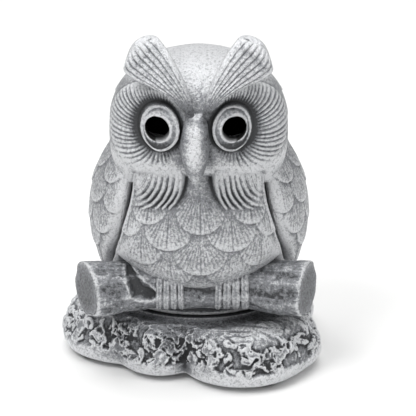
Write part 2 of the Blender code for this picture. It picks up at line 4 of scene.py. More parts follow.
import bpy
import numpy as np
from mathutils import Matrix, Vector


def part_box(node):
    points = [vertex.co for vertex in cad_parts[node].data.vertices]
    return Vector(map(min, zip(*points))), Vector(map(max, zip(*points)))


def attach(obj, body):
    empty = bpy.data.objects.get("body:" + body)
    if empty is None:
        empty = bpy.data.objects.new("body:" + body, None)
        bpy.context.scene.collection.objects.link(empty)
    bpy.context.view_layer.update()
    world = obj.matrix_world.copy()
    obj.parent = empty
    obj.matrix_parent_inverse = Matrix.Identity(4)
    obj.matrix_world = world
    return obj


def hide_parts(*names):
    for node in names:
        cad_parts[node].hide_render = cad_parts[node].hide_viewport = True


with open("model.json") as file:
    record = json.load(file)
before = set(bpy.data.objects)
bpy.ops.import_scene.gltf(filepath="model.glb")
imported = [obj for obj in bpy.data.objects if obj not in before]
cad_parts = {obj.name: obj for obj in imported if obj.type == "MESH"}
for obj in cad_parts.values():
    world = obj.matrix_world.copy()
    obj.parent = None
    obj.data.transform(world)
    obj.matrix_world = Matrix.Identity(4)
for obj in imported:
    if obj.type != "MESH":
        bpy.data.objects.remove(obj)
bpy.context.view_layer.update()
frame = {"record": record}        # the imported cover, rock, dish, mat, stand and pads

# Shapes are worked out in millimetres about the owl's own upright axis: x to the right as the
# owl is looked at, y away from the viewer, z up from the table. The axis comes from the dish.
mm = 0.001


def middleOf(node):
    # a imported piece's middle, lowest corner and highest corner
    low, high = (np.array(c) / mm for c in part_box(node))
    return (low + high) / 2, low, high


dishMiddle, dishLow, dishHigh = middleOf("ash_dish")
_, rockLow, rockHigh = middleOf("rock_base")
axisPlace = np.array([dishMiddle[0], dishMiddle[1], 0.0])
rimZ = middleOf("owl_cover")[1][2]                       # the cover's rim
openings = {o["name"]: np.array(o["box_m"]) / mm for o in frame["record"]["physics"]["openings"]}


def holeCentre(name):
    # middle of an eye hole across and up, seen from the owl's axis
    middle = openings[name].mean(axis=0) - axisPlace
    return float(middle[0]), float(middle[2])


# Small helpers on arrays.


def smoothStep(x, low, high):
    # 3t^2 - 2t^3 of the share t of the way from low to high
    t = np.clip((x - low) / (high - low), 0.0, 1.0)
    return t * t * (3.0 - 2.0 * t)


def bump(x, middle, width):
    # a bell that is 1 at the middle and falls to 1/e at one width
    return np.exp(-((x - middle) / width) ** 2)


def cubicPiece(a, b, riseA, riseB, s):
    # the cubic from a to b whose rises at its two ends are given, at the share s of the way
    return (a * (1 + 2 * s) * (1 - s) ** 2 + riseA * s * (1 - s) ** 2
            + b * s * s * (3 - 2 * s) + riseB * s * s * (s - 1))


def fullTurn(count):
    # equal angles once round, as one row
    return np.linspace(0, 2 * math.pi, count, endpoint=False)[None, :]


def overAndBack(count, low, high):
    # places across a flat piece, out over its front and home over its rear, and 1 on the front
    half = count // 2
    home = np.linspace(high, low, count - half + 2)[1:-1]
    onFront = (np.arange(count) < half) * 1.0
    return np.concatenate([np.linspace(low, high, half), home])[None, :], onFront[None, :]


def denseColumns(count, weight, start=-math.pi):
    # angles once round from the start, crowded where the weight is large
    fine = np.linspace(start, start + 2 * math.pi, 4001)
    total = np.concatenate([[0], np.cumsum(weight((fine[1:] + fine[:-1]) / 2))])
    return np.interp(np.arange(count) / count, total / total[-1], fine)


def through(t, stations):
    # a smooth curve through rows of (position, value, value...): cubic pieces whose slope at a
    # station is that of the parabola through its neighbours
    table = np.array(stations, float)
    knots, values = table[:, 0], table[:, 1:]
    slopes = np.gradient(values, knots, axis=0)
    t = np.asarray(t, float)
    i = np.clip(np.searchsorted(knots, t) - 1, 0, len(knots) - 2)
    span = knots[i + 1] - knots[i]
    s = np.clip((t - knots[i]) / span, 0.0, 1.0)[..., None]
    span = span[..., None]
    a, b = values[i], values[i + 1]
    fa, fb = slopes[i] * span, slopes[i + 1] * span
    out = cubicPiece(a, b, fa, fb, s)
    return out[..., 0] if out.shape[-1] == 1 else out


def latticeNoise(p, seed):
    # value noise: the eight corners of each unit cell get a hashed number from -1 to 1, and a
    # point blends them by the smooth step of its place in the cell
    cell = np.floor(p).astype(np.int64)
    f = p - cell
    f = f * f * (3.0 - 2.0 * f)
    total = 0.0
    for corner in range(8):
        dx, dy, dz = corner & 1, (corner >> 1) & 1, corner >> 2
        x, y, z = cell[..., 0] + dx, cell[..., 1] + dy, cell[..., 2] + dz
        h = (x * 374761393 + y * 668265263 + z * 1440662683 + seed * 362437) & 0xFFFFFFFF
        h = ((h ^ (h >> 13)) * 1274126177) & 0xFFFFFFFF
        h = (h ^ (h >> 16)) / 0xFFFFFFFF
        w = ((f[..., 0] if dx else 1 - f[..., 0]) * (f[..., 1] if dy else 1 - f[..., 1])
             * (f[..., 2] if dz else 1 - f[..., 2]))
        total = total + w * h
    return total * 2.0 - 1.0


def roughNoise(p, size, octaves, seed):
    # lattice noise added to itself at half the size and half the strength, octave by octave
    total = 0.0
    for k in range(octaves):
        total = total + latticeNoise(np.asarray(p) * (2.0 ** k / size) + 17.3 * k, seed + k) * 0.5 ** k
    return total / (2.0 - 0.5 ** (octaves - 1))


# Meshes from grids.


def gridFaces(rows, cols, start, closedRows):
    # quads between neighbouring rows; columns always close on themselves
    r = np.arange(rows if closedRows else rows - 1)[:, None]
    c = np.arange(cols)[None, :]
    here = start + r * cols
    nextRow = start + ((r + 1) % rows) * cols
    side = (c + 1) % cols
    return np.stack([here + c, here + side, nextRow + side, nextRow + c], axis=-1).reshape(-1, 4)


def makeMesh(name, points, closedRows=False, about=axisPlace):
    # A grid of rows x columns x 3 becomes one closed surface. Its columns run round. Its rows
    # either close on themselves, or end in a point at each end, the mean of the end row.
    rows, cols, _ = points.shape
    points = points + about
    if closedRows:
        verts = points.reshape(-1, 3)
        quads = gridFaces(rows, cols, 0, True)
        tris = np.zeros((0, 3), int)
    else:
        verts = np.concatenate([points[0].mean(0)[None], points.reshape(-1, 3), points[-1].mean(0)[None]])
        quads = gridFaces(rows, cols, 1, False)
        c = np.arange(cols)
        side = (c + 1) % cols
        last = 1 + (rows - 1) * cols
        first = np.stack([np.zeros(cols, int), 1 + side, 1 + c], axis=-1)
        end = np.stack([np.full(cols, len(verts) - 1), last + c, last + side], axis=-1)
        tris = np.concatenate([first, end])
    corners = verts[quads]
    volume = np.einsum("ij,ij->i", corners[:, 0], np.cross(corners[:, 1], corners[:, 2])).sum()
    volume += np.einsum("ij,ij->i", corners[:, 0], np.cross(corners[:, 2], corners[:, 3])).sum()
    if volume < 0:                       # turn the surface so that it faces outwards
        quads = quads[:, ::-1]
        tris = tris[:, ::-1]
    mesh = bpy.data.meshes.new(name)
    mesh.vertices.add(len(verts))
    mesh.vertices.foreach_set("co", (verts * mm).astype(np.float32).ravel())
    loops = np.concatenate([quads.ravel(), tris.ravel()])
    mesh.loops.add(len(loops))
    mesh.loops.foreach_set("vertex_index", loops.astype(np.int32))
    starts = np.concatenate([np.arange(len(quads)) * 4, len(quads) * 4 + np.arange(len(tris)) * 3])
    mesh.polygons.add(len(starts))
    mesh.polygons.foreach_set("loop_start", starts.astype(np.int32))
    mesh.polygons.foreach_set("use_smooth", np.ones(len(starts), bool))
    mesh.update(calc_edges=True)
    mesh.validate()
    return mesh


def smoothedBy(p, edges, rounds):
    # every point moves to the mean of its neighbours, again and again
    a, b = edges[:, 0], edges[:, 1]
    count = len(p)
    degree = np.bincount(a, minlength=count) + np.bincount(b, minlength=count)
    ends, starts = np.concatenate([a, b]), np.concatenate([b, a])
    for _ in range(rounds):
        p = np.stack([np.bincount(ends, weights=p[starts, k], minlength=count) for k in range(3)], 1)
        p = p / degree[:, None]
    return p


def storeNumber(mesh, name, values):
    # one number per point, for the shaders to read
    layer = mesh.attributes.new(name, "FLOAT", "POINT")
    layer.data.foreach_set("value", np.asarray(values, np.float32))


def pointsOf(mesh):
    # the mesh's points in millimetres
    p = np.empty(len(mesh.vertices) * 3, np.float32)
    mesh.vertices.foreach_get("co", p)
    return p.reshape(-1, 3).astype(float) / mm


reliefRounds = dict(fine=14, broad=110)      # how often the surroundings are smoothed


def measureRelief(mesh):
    # "fine" and "broad": how far each point stands out from its smoothed surroundings along its
    # normal, in millimetres, over about 1 mm and about 4 mm. Ridges are positive.
    p = pointsOf(mesh)
    normal = np.empty(p.size, np.float32)
    mesh.vertex_normals.foreach_get("vector", normal)
    edges = np.empty(len(mesh.edges) * 2, np.int32)
    mesh.edges.foreach_get("vertices", edges)
    edges = edges.reshape(-1, 2)
    near = smoothedBy(p, edges, reliefRounds["fine"])
    far = smoothedBy(near, edges, reliefRounds["broad"])
    for name, smooth in (("fine", near), ("broad", far)):
        storeNumber(mesh, name, np.einsum("ij,ij->i", p - smooth, normal.reshape(-1, 3)))


def addObject(name, data):
    made = bpy.data.objects.new(name, data)
    bpy.context.scene.collection.objects.link(made)
    return made


def finishPiece(mesh, name, body, material, node, rubAndPaintedLight=None, soot=None):
    # rubAndPaintedLight: extra silver (or less of it) laid on by hand, and in places painted light and
    # painted shade; soot: 1 where the casting is black inside
    measureRelief(mesh)
    place = pointsOf(mesh) - axisPlace
    for layer, rule in (("rubAndPaintedLight", rubAndPaintedLight), ("soot", soot)):
        values = rule(*place.T) if rule else 0.0
        storeNumber(mesh, layer, values + np.zeros(len(place)))
    mesh.materials.clear()
    mesh.materials.append(material)
    piece = addObject(name, mesh)
    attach(piece, body)
    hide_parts(node)


def cutFrom(mesh, cutters):
    # the mesh less each closed cutter, by an exact difference that keeps one clean surface
    target = addObject("cutTarget", mesh)
    tools = [addObject("cutTool", cutter) for cutter in cutters]
    for tool in tools:
        cut = target.modifiers.new("cut", "BOOLEAN")
        cut.operation = "DIFFERENCE"
        cut.solver = "MANIFOLD"
        cut.object = tool
    graph = bpy.context.evaluated_depsgraph_get()
    result = bpy.data.meshes.new_from_object(target.evaluated_get(graph))
    for thing in (target, *tools):
        bpy.data.objects.remove(thing)
    result.polygons.foreach_set("use_smooth", np.ones(len(result.polygons), bool))
    return result


# Shader writing.


class Val:
    # one socket, so that shader sums are written as sums
    def __init__(self, sheet, socket):
        self.sheet, self.socket = sheet, socket

    def join(self, operation, other, swap=False):
        parts = (other, self) if swap else (self, other)
        return self.sheet.node("ShaderNodeMath", {"operation": operation}, parts)[0]

    def __add__(self, other): return self.join("ADD", other)
    def __radd__(self, other): return self.join("ADD", other)
    def __sub__(self, other): return self.join("SUBTRACT", other)
    def __rsub__(self, other): return self.join("SUBTRACT", other, True)
    def __mul__(self, other): return self.join("MULTIPLY", other)
    def __rmul__(self, other): return self.join("MULTIPLY", other)

    def between(self, low, high):
        # smooth step from low to high
        ends = (self, low, high, 0.0, 1.0)
        return self.sheet.node("ShaderNodeMapRange", {"interpolation_type": "SMOOTHSTEP"}, ends)[0]


class Sheet:
    # one material's node sheet
    def __init__(self, name):
        self.material = bpy.data.materials.new(name)
        self.material.use_nodes = True
        self.tree = self.material.node_tree
        self.shader = self.tree.nodes["Principled BSDF"]

    def node(self, kind, settings=(), inputs=()):
        made = self.tree.nodes.new(kind)
        for key, value in dict(settings).items():
            setattr(made, key, value)
        pairs = inputs.items() if isinstance(inputs, dict) else enumerate(inputs)
        for key, value in pairs:
            if isinstance(value, Val):
                self.tree.links.new(value.socket, made.inputs[key])
            elif value is not None:
                made.inputs[key].default_value = value
        return [Val(self, socket) for socket in made.outputs if socket.enabled]

    def stored(self, name):
        # a number stored on the mesh
        return self.node("ShaderNodeAttribute", {"attribute_name": name})[2]

    def place(self):
        # the point's place in metres
        return self.node("ShaderNodeTexCoord")[3]

    def stretched(self, place, scale):
        return self.node("ShaderNodeMapping", {}, {"Vector": place, "Scale": scale})[0]

    def noise(self, place, scale, detail=3.0, roughness=0.55):
        ends = {"Vector": place, "Scale": scale, "Detail": detail, "Roughness": roughness}
        return self.node("ShaderNodeTexNoise", {}, ends)[0]

    def mixColour(self, share, first, second):
        return self.node("ShaderNodeMix", {"data_type": "RGBA"}, {0: share, 6: first, 7: second})[0]

    def bumpFrom(self, height, distance):
        return self.node("ShaderNodeBump", {}, {"Height": height, "Distance": distance})[0]

    def feed(self, socket, value):
        if isinstance(value, Val):
            self.tree.links.new(value.socket, self.shader.inputs[socket])
        else:
            self.shader.inputs[socket].default_value = value


def grey(value, tint=0.0):
    # a near-neutral colour; a positive tint leans to blue
    return (value * (1 - tint), value * (1 - tint * 0.35), value * (1 + tint), 1.0)


ironLook = dict(pit=0.010, shade=0.060, mid=0.25, silver=0.70, tint=0.045,
                grainScale=1250.0, patchScale=150.0, roughLow=0.34, roughHigh=0.58,
                metallic=0.60, grainDepth=0.00034, grainShare=0.50)
rockLook = dict(ironLook, shade=0.045, mid=0.26, silver=0.80, grainShare=0.42)


def castIron(name, look):
    # Dry-brushed casting: stored relief plus hand rubbing and painted light and shade, shaken by
    # patch noise and sand grain, picks pit black, shade grey, mid grey or silver; grain of half a
    # millimetre also drives bump and gloss, and stored soot turns the inside black.
    s = Sheet(name)
    place = s.place()
    fine, broad, rubAndPaintedLight, soot = (s.stored(n) for n in ("fine", "broad", "rubAndPaintedLight", "soot"))
    grain = s.noise(place, look["grainScale"] * 2.1, 2.0, 0.6)
    coarse = s.noise(place, look["grainScale"], 3.0, 0.7)
    patch = s.noise(place, look["patchScale"], 4.0, 0.6)
    speck = (grain - 0.5) * 0.8 + (coarse - 0.5) * 1.3
    # rubAndPaintedLight adds hand-rubbed silver and, in places, painted light and painted shade
    height = fine + broad * 0.26 + (patch - 0.5) * 0.16 + speck * look["grainShare"] + rubAndPaintedLight
    silver = height.between(-0.04, 0.30) * (1.0 - 0.55 * speck.between(0.04, -0.30))
    shade = height.between(-0.02, -0.26)
    pit = (fine + broad * 0.20 + speck * 0.15).between(-0.30, -0.80)
    colour = s.mixColour(silver, grey(look["mid"], look["tint"]), grey(look["silver"], look["tint"] * 0.4))
    colour = s.mixColour(shade, colour, grey(look["shade"], look["tint"]))
    colour = s.mixColour(pit, colour, grey(look["pit"], look["tint"]))
    colour = s.mixColour(soot, colour, grey(0.012))
    s.feed("Base Color", colour)
    rough = look["roughHigh"] - silver * (look["roughHigh"] - look["roughLow"]) + speck * 0.22 + soot * 0.35
    s.feed("Roughness", rough)
    s.feed("Metallic", look["metallic"] - shade * 0.2 - pit * 0.3 - soot * 0.3)
    s.feed("Normal", s.bumpFrom(speck, look["grainDepth"]))
    return s.material


def dullBrass(name, bright, worn, scratch):
    # pressed or turned brass: turning lines are noise that changes a hundred times faster with
    # height, heat stains are broad noise that mixes the metal towards brown and dulls it
    s = Sheet(name)
    place = s.place()
    stain = s.noise(place, 160.0, 4.0, 0.6)
    speck = s.noise(place, 1500.0, 2.0, 0.6)
    rings = s.noise(s.stretched(place, (60.0, 60.0, 6000.0)), 1.0, 2.0, 0.7)
    tarnish = (stain + speck * 0.25).between(0.42, 0.80)
    s.feed("Base Color", s.mixColour(tarnish, bright, worn))
    s.feed("Roughness", 0.30 + tarnish * 0.28 + rings * 0.10)
    s.feed("Metallic", 1.0 - tarnish * 0.35)
    s.feed("Normal", s.bumpFrom(rings * 0.6 + speck * 0.4, scratch))
    return s.material


def feltCloth(name, light, dark, hairScale):
    # needled felt: two layers of stretched noise stand for crossed fibres in colour and bump
    s = Sheet(name)
    place = s.place()
    across = s.noise(s.stretched(place, (1.0, 0.22, 0.6)), hairScale, 3.0, 0.7)
    along = s.noise(s.stretched(place, (0.22, 1.0, 0.6)), hairScale, 3.0, 0.7)
    cloud = s.noise(place, 120.0, 2.0, 0.5)
    hair = (across + along) * 0.5
    s.feed("Base Color", s.mixColour((hair + (cloud - 0.5) * 0.4).between(0.32, 0.66), dark, light))
    s.feed("Roughness", 0.92)
    s.feed("Normal", s.bumpFrom(hair, 0.0005))
    return s.material


ironFinish = castIron("silveredCastIron", ironLook)
rockFinish = castIron("silveredRockIron", rockLook)
dishFinish = dullBrass("dulledDishBrass", (0.56, 0.40, 0.17, 1), (0.20, 0.12, 0.06, 1), 0.00010)
standFinish = dullBrass("satinStandBrass", (0.78, 0.57, 0.25, 1), (0.40, 0.26, 0.11, 1), 0.00005)
matFinish = feltCloth("glassFibreFelt", (0.86, 0.84, 0.78, 1), (0.55, 0.52, 0.46, 1), 2600.0)
padFinish = feltCloth("blackWoolFelt", (0.05, 0.05, 0.055, 1), (0.010, 0.010, 0.012, 1), 2200.0)


def owlPiece(mesh, name, rubAndPaintedLight=None, soot=None):
    # every part of the owl and its log belongs to the one lift-off casting
    finishPiece(mesh, name, "cover", ironFinish, "owl_cover", rubAndPaintedLight, soot)


# The torso.

torso = dict(
    # height, half width, half depth in front, half depth behind
    profile=((0, 25.0, 22.0, 22.0), (3.2, 26.4, 23.2, 23.2), (9, 29.0, 25.6, 25.4), (15, 31.0, 27.2, 27.0),
             (21, 32.6, 28.2, 28.2), (27, 33.0, 28.8, 28.8), (33, 32.6, 28.6, 28.8), (39, 31.2, 27.6, 28.2),
             (45, 28.4, 26.2, 27.0), (51, 24.6, 24.2, 25.0), (56, 20.0, 21.0, 22.0)),
    height=56.0, wall=3.2, skinIn=0.5, rowsOut=190, rowsIn=14, columns=440)
# where the wing's front edge meets the breast: height, degrees from straight ahead
wingLine = ((18, 96), (24, 84), (30, 71), (34, 61.5), (38, 54.5), (42, 49.5), (47, 46.0), (52, 43.5),
            (57, 42.5), (63, 44.5), (70, 53), (78, 64))
# breast feathers: place round the girth, height of the lower end, half width, length
breastFeathers = ((-7.6, 30.6, 6.6, 13.0), (8.2, 30.6, 6.6, 13.0), (0.6, 34.9, 7.0, 13.5),
                  (-15.6, 37.2, 6.3, 13.0), (17.2, 36.5, 6.5, 13.0), (-23.4, 35.8, 5.0, 12.0),
                  (24.6, 35.6, 5.0, 12.0), (-20.9, 45.4, 5.2, 12.0), (21.2, 45.6, 5.3, 12.0),
                  (-8.3, 42.8, 6.8, 13.5), (9.0, 42.4, 7.0, 13.5), (-14.6, 50.0, 6.0, 12.0),
                  (15.2, 50.0, 6.0, 12.0), (0.5, 48.0, 7.0, 14.0))
feathers = dict(girth=31.0, lift=0.52, curve=1.5, barbPitch=1.15, barbDepth=0.11, edge=0.36)
whiskers = dict(across=21.4, height=65.8, reach=17.8, first=8.9, pitch=1.50, depth=0.62, swell=3.5,
                foot=54.6)
belly = dict(bottom=29.3, rise=7.0, reach=23.0, swell=2.7, round=7.0)


def backRows(around, bottoms, halfWidth, length):
    # staggered rows of equal feathers all the way round, lowest row first
    pitch = 2 * math.pi * feathers["girth"] / around
    return [((k + 0.5 * (row % 2)) * pitch - math.pi * feathers["girth"], bottom, halfWidth, length)
            for row, bottom in enumerate(sorted(bottoms)) for k in range(around)]


def torsoSection(z):
    # half width, front and back half depth at a height above the table
    return np.moveaxis(through(z - rimZ, torso["profile"]), -1, 0)


def torsoPoint(phi, z, out):
    # a point of the torso at an angle from straight ahead, stood out by a distance: an ellipse
    # whose depth turns smoothly from its front value to its back value
    a, front, back = torsoSection(z)
    b = front + (back - front) * smoothStep(-np.cos(phi), -0.6, 0.6)
    tilt = np.sqrt((np.sin(phi) * a) ** 2 + (np.cos(phi) * b) ** 2)
    x, y = a * np.sin(phi), -b * np.cos(phi)
    return np.stack([x * (1 + out / tilt), y * (1 + out / tilt), z + 0 * x], axis=-1)


def featherField(s, z, plumes, look, wrap=True):
    # Overlapping plumes with a round lower end. A plume's face rises towards that end and drops
    # at its edge; fine barbs fan out from its root. Plumes later in the list lie on top.
    girth = 2 * math.pi * look["girth"]
    s, z = np.broadcast_arrays(s, z)
    total = np.zeros(s.shape)
    for place, bottom, half, length in plumes:
        dx = s - place
        if wrap:
            dx = (dx + girth / 2) % girth - girth / 2
        drop = z - bottom
        near = (np.abs(dx) < half + 1) & (drop > -1) & (drop < length + 1)
        if not near.any():
            continue
        x, up = dx[near], drop[near]
        reach = np.where(up < half, np.hypot(x, half - up), np.abs(x) + 0.35 * (up - half))
        inside = smoothStep(half - reach, 0.0, look["edge"])
        share = np.clip(1 - up / length, 0, 1)
        face = (0.06 + look["lift"] * share ** look["curve"]) * (1 - 0.22 * (x / half) ** 2)
        angle = np.arctan2(x, length - up + 0.8)
        fan = (0.5 + 0.5 * np.cos(angle * 2 * math.pi * length * 0.85 / look["barbPitch"])) ** 1.5
        face = face - look["barbDepth"] * fan * smoothStep(share, 0.05, 0.35)
        face = face - look["barbDepth"] * 0.9 * bump(x, 0, 0.25) * smoothStep(share, 0.15, 0.4)
        old = total[near]
        total[near] = old * (1 - inside) + face * inside
    return total


def wingEdge(z):
    # the angle from straight ahead at which the wing starts, in radians
    return np.radians(through(z, wingLine))


def whiskerRelief(x, z, side):
    # A swollen cheek below the face disc. Deep grooves run down it as arcs about a point at its
    # outer upper corner; they fade outwards and end below in a slanting row of tips.
    dx = whiskers["across"] - side * x
    dz = z - whiskers["height"]
    r = np.hypot(dx, dz)
    turn = np.arctan2(-dz, dx)                     # 0 towards the beak, a quarter turn straight down
    stray = roughNoise(np.stack([x, z, 0 * x], -1), 4.0, 2, 15)
    bent = r + 0.30 * np.sin(3.1 * turn + 0.7 * side) + 0.35 * stray
    strand = 0.5 + 0.5 * np.cos(2 * math.pi * (bent - whiskers["first"]) / whiskers["pitch"])
    foot = whiskers["foot"] - 0.10 * (side * x - 8.0) + 1.1 * strand
    inside = smoothStep(whiskers["reach"] - r, 0.0, 0.9) * smoothStep(z - foot, 0.0, 0.9)
    inside = inside * smoothStep(side * x, 1.0, 2.5) * smoothStep(20.5 - side * x, 0.0, 4.0)
    swell = whiskers["swell"] * (0.45 + 0.55 * smoothStep(z, 55.0, 66.0)) * smoothStep(69.6 - z, 0.0, 2.6)
    swell = swell * (0.70 + 0.30 * smoothStep(r, 2.0, 12.0)) * (0.40 + 0.60 * smoothStep(z - foot, 0.0, 7.0))
    window = smoothStep(r, 6.6, 8.6) * smoothStep(turn, -0.10, 0.12) * smoothStep(1.16 - turn, 0.0, 0.40)
    lines = -whiskers["depth"] * strand ** 1.4 * window * (0.5 + 0.5 * smoothStep(r, 8.0, 13.0))
    hair = 0.11 * np.cos(6 * math.pi * (bent - whiskers["first"]) / whiskers["pitch"] + 1.0)
    hair = hair * smoothStep(r, 5.0, 7.5) * smoothStep(1.20 - turn, 0.0, 0.5)
    return swell, inside, lines + hair


def torsoRelief(phi, z):
    # plumage all round, the belly's overhang above the log, the cheeks in front, and a raised
    # crest with a deep valley where the breast meets the wing
    s = phi * feathers["girth"]
    front = smoothStep(np.cos(phi), 0.15, 0.3)
    behind = featherField(s, z, backRows(13, (24, 31, 38, 45, 52, 59, 66), 7.4, 14.0), feathers)
    breast = featherField(s, z, breastFeathers, feathers, wrap=False)
    x = torsoSection(z)[0] * np.sin(phi)
    line = wingEdge(z)
    away = (np.abs(phi) - line) * feathers["girth"]  # millimetres outside the wing line
    within = 1 - smoothStep(away, -7.0, 0.0)
    low = belly["bottom"] + belly["rise"] * (np.abs(x) / belly["reach"]) ** 1.7
    t = np.clip((z - low) / belly["round"], 0, 1)
    over = belly["swell"] * np.sqrt(1 - (1 - t) ** 2) * (1 - smoothStep(z, 41, 60)) * within * front
    over = over - 1.2 * smoothStep(low - z, 0.0, 1.5) * within * front
    breast = breast * smoothStep(z - low, 0.5, 6.0)
    total = behind * (1 - front) + breast * front
    for side in (-1, 1):
        swell, inside, lines = whiskerRelief(x, z, side)
        share = inside * front
        total = total * (1 - share) + (swell + lines) * share
    crest = 0.30 * bump(away, -2.0, 0.6) * smoothStep(z, 34.0, 41.0) * smoothStep(70.0 - z, 0.0, 6.0)
    valley = 2.1 * smoothStep(away, -1.5, -0.3)
    return total + over + crest - valley


def makeTorso():
    # a shell on torsoPoint's ellipses: outside with its relief, then the plain inside, then the rim
    weight = lambda a: (1.0 - 0.72 * smoothStep(np.abs(a), 0.95, 1.15)
                        + 0.30 * smoothStep(np.abs(a), 2.3, 2.6))
    phi = denseColumns(torso["columns"], weight)[None, :]
    z = np.linspace(rimZ, rimZ + torso["height"], torso["rowsOut"])[:, None]
    zed = z + 0 * phi
    angle = phi + 0 * z
    relief = torsoRelief(angle, zed) * smoothStep(zed, rimZ + 0.3, rimZ + 3.0)
    sand = 0.07 * roughNoise(torsoPoint(angle, zed, 0), 1.1, 2, 11)
    outer = torsoPoint(angle, zed, relief + sand - torso["skinIn"])
    zIn = np.linspace(rimZ + torso["height"] - 2.0, rimZ, torso["rowsIn"])[:, None] + 0 * phi
    inner = torsoPoint(phi + 0 * zIn, zIn, -torso["wall"])
    lip = torsoPoint(phi, np.full((1, 1), rimZ) + 0 * phi, -torso["wall"] * 0.5)
    return makeMesh("torso", np.concatenate([outer, inner, lip]), closedRows=True)


# The head.

head = dict(middle=(0.0, -2.5, 72.0), half=(27.0, 25.3, 25.2), round=2.35, frontRound=2.6, wall=3.4,
            bottom=60.5, rows=250, rowsIn=26, columns=350, napeGirth=26.0)
face = dict(across=13.9, height=78.0, halfWidth=11.9, halfHeight=13.2, ridges=54, ridgeDepth=0.42,
            sink=1.9, rim=1.3, ringOuter=6.45, hole=3.55, turnOut=math.radians(23.0),
            turnUp=math.radians(11.0), dome=1.2, plate=-26.4)
eyes = {-1: holeCentre("eye_hole_left"), 1: holeCentre("eye_hole_right")}


def headPoint(phi, level):
    # a superellipsoid, rounder behind than in front; level runs from -1 underneath to 1 at the crown
    a, b, c = head["half"]
    n = head["round"]
    up = np.sin(level * math.pi / 2)
    width = np.clip(1 - np.abs(up) ** n, 0, 1) ** (1 / n)
    m = 2.0 + (head["frontRound"] - 2.0) * smoothStep(np.cos(phi), -0.2, 0.5)
    sx, cy = np.sin(phi), np.cos(phi)
    r = (np.abs(sx) ** m + np.abs(cy) ** m) ** (-1 / m)
    x = a * width * r * sx
    y = -b * width * r * cy
    return np.stack([x, y, c * up + 0 * x], axis=-1) + np.array(head["middle"])


def eyeRadius(x, z, side):
    # distance from an eye's middle measured on its own slanting plate
    ex, ez = eyes[side]
    return np.hypot((x - ex) / math.cos(face["turnOut"]), (z - ez) / math.cos(face["turnUp"]))


def faceRelief(x, z, side):
    # A face disc about one eye. Along each ray from the eye it sinks beside the eyeball and
    # rises to the disc's rim, then drops to the head; ridges run along the rays and curl up
    # outwards. Towards the beak and the cheek the disc has no edge and smooths out.
    ex, ez = eyes[side]
    dx, dz = (x - ex) * side, z - ez                # dx grows away from the beak
    r = np.hypot(dx, dz)
    angle = np.arctan2(dz, dx)
    ox, oz = (side * face["across"] - ex) * side, face["height"] - ez
    ux, uz = np.cos(angle), np.sin(angle)
    a = (ux / face["halfWidth"]) ** 2 + (uz / face["halfHeight"]) ** 2
    b = ux * ox / face["halfWidth"] ** 2 + uz * oz / face["halfHeight"] ** 2
    c = (ox / face["halfWidth"]) ** 2 + (oz / face["halfHeight"]) ** 2 - 1
    edge = (b + np.sqrt(np.maximum(b * b - a * c, 1e-6))) / a
    cheek = smoothStep(-uz, 0.35, 0.85) * smoothStep(0.45 - ux, 0.0, 0.5)
    inner = np.maximum(cheek, smoothStep(-ux, 0.3, 0.8))
    start = face["ringOuter"] - 0.3
    share = (r - start) / np.maximum(edge - start, 0.5)
    inside = smoothStep(edge - r, 0.0, 0.5) * (1 - inner) + smoothStep(edge - r, -0.5, 5.5) * inner
    climb = smoothStep(share, -0.05, 0.9)
    sink, rim = face["sink"] * (1 - 0.6 * cheek), face["rim"] * (1 - 0.9 * cheek)
    bowl = -sink + (sink + rim) * climb ** 0.8
    bowl = bowl - 0.45 * smoothStep(share, 0.86, 1.05) * (1 - inner)
    curl = angle - 0.34 * np.clip(share, 0, 1.2) ** 1.5 * smoothStep(ux, -0.2, 0.8)
    place = np.stack([9.0 * np.cos(curl), 9.0 * np.sin(curl), 1.6 * share + 3.0 * side], -1)
    stray = roughNoise(place, 2.2, 2, 19)
    wave = np.cos(face["ridges"] * curl + 1.5 * stray)
    ridges = face["ridgeDepth"] * (np.abs(0.5 + 0.5 * wave) ** 0.7 - 0.62) * (1 + 0.5 * stray)
    fade = smoothStep(share, 0.06, 0.35) * (1 - 0.9 * inner * smoothStep(share, 0.30, 0.65))
    ridges = ridges * fade * (1 - 0.6 * smoothStep(-ux, 0.2, 0.7))
    return (bowl + ridges) * inside, inside


def eyePlate(x, z, side):
    # how far back the flat plate of an eye lies: a plane turned outward and upward
    ex, ez = eyes[side]
    return (face["plate"] + math.tan(face["turnOut"]) * side * (x - ex)
            + math.tan(face["turnUp"]) * (z - ez))


def eyeProfile(r):
    # the eyeball by radius: crisp socket edge, groove, low dome, thin raised hole edge
    dome = face["dome"] * np.clip(1 - (r / face["ringOuter"]) ** 2, 0, 1) ** 0.8
    socket = 0.34 * bump(r, face["ringOuter"] + 0.05, 0.20)
    groove = -0.30 * bump(r, face["ringOuter"] - 0.55, 0.35)
    return dome + socket + groove + 0.26 * bump(r, face["hole"] + 0.22, 0.26)


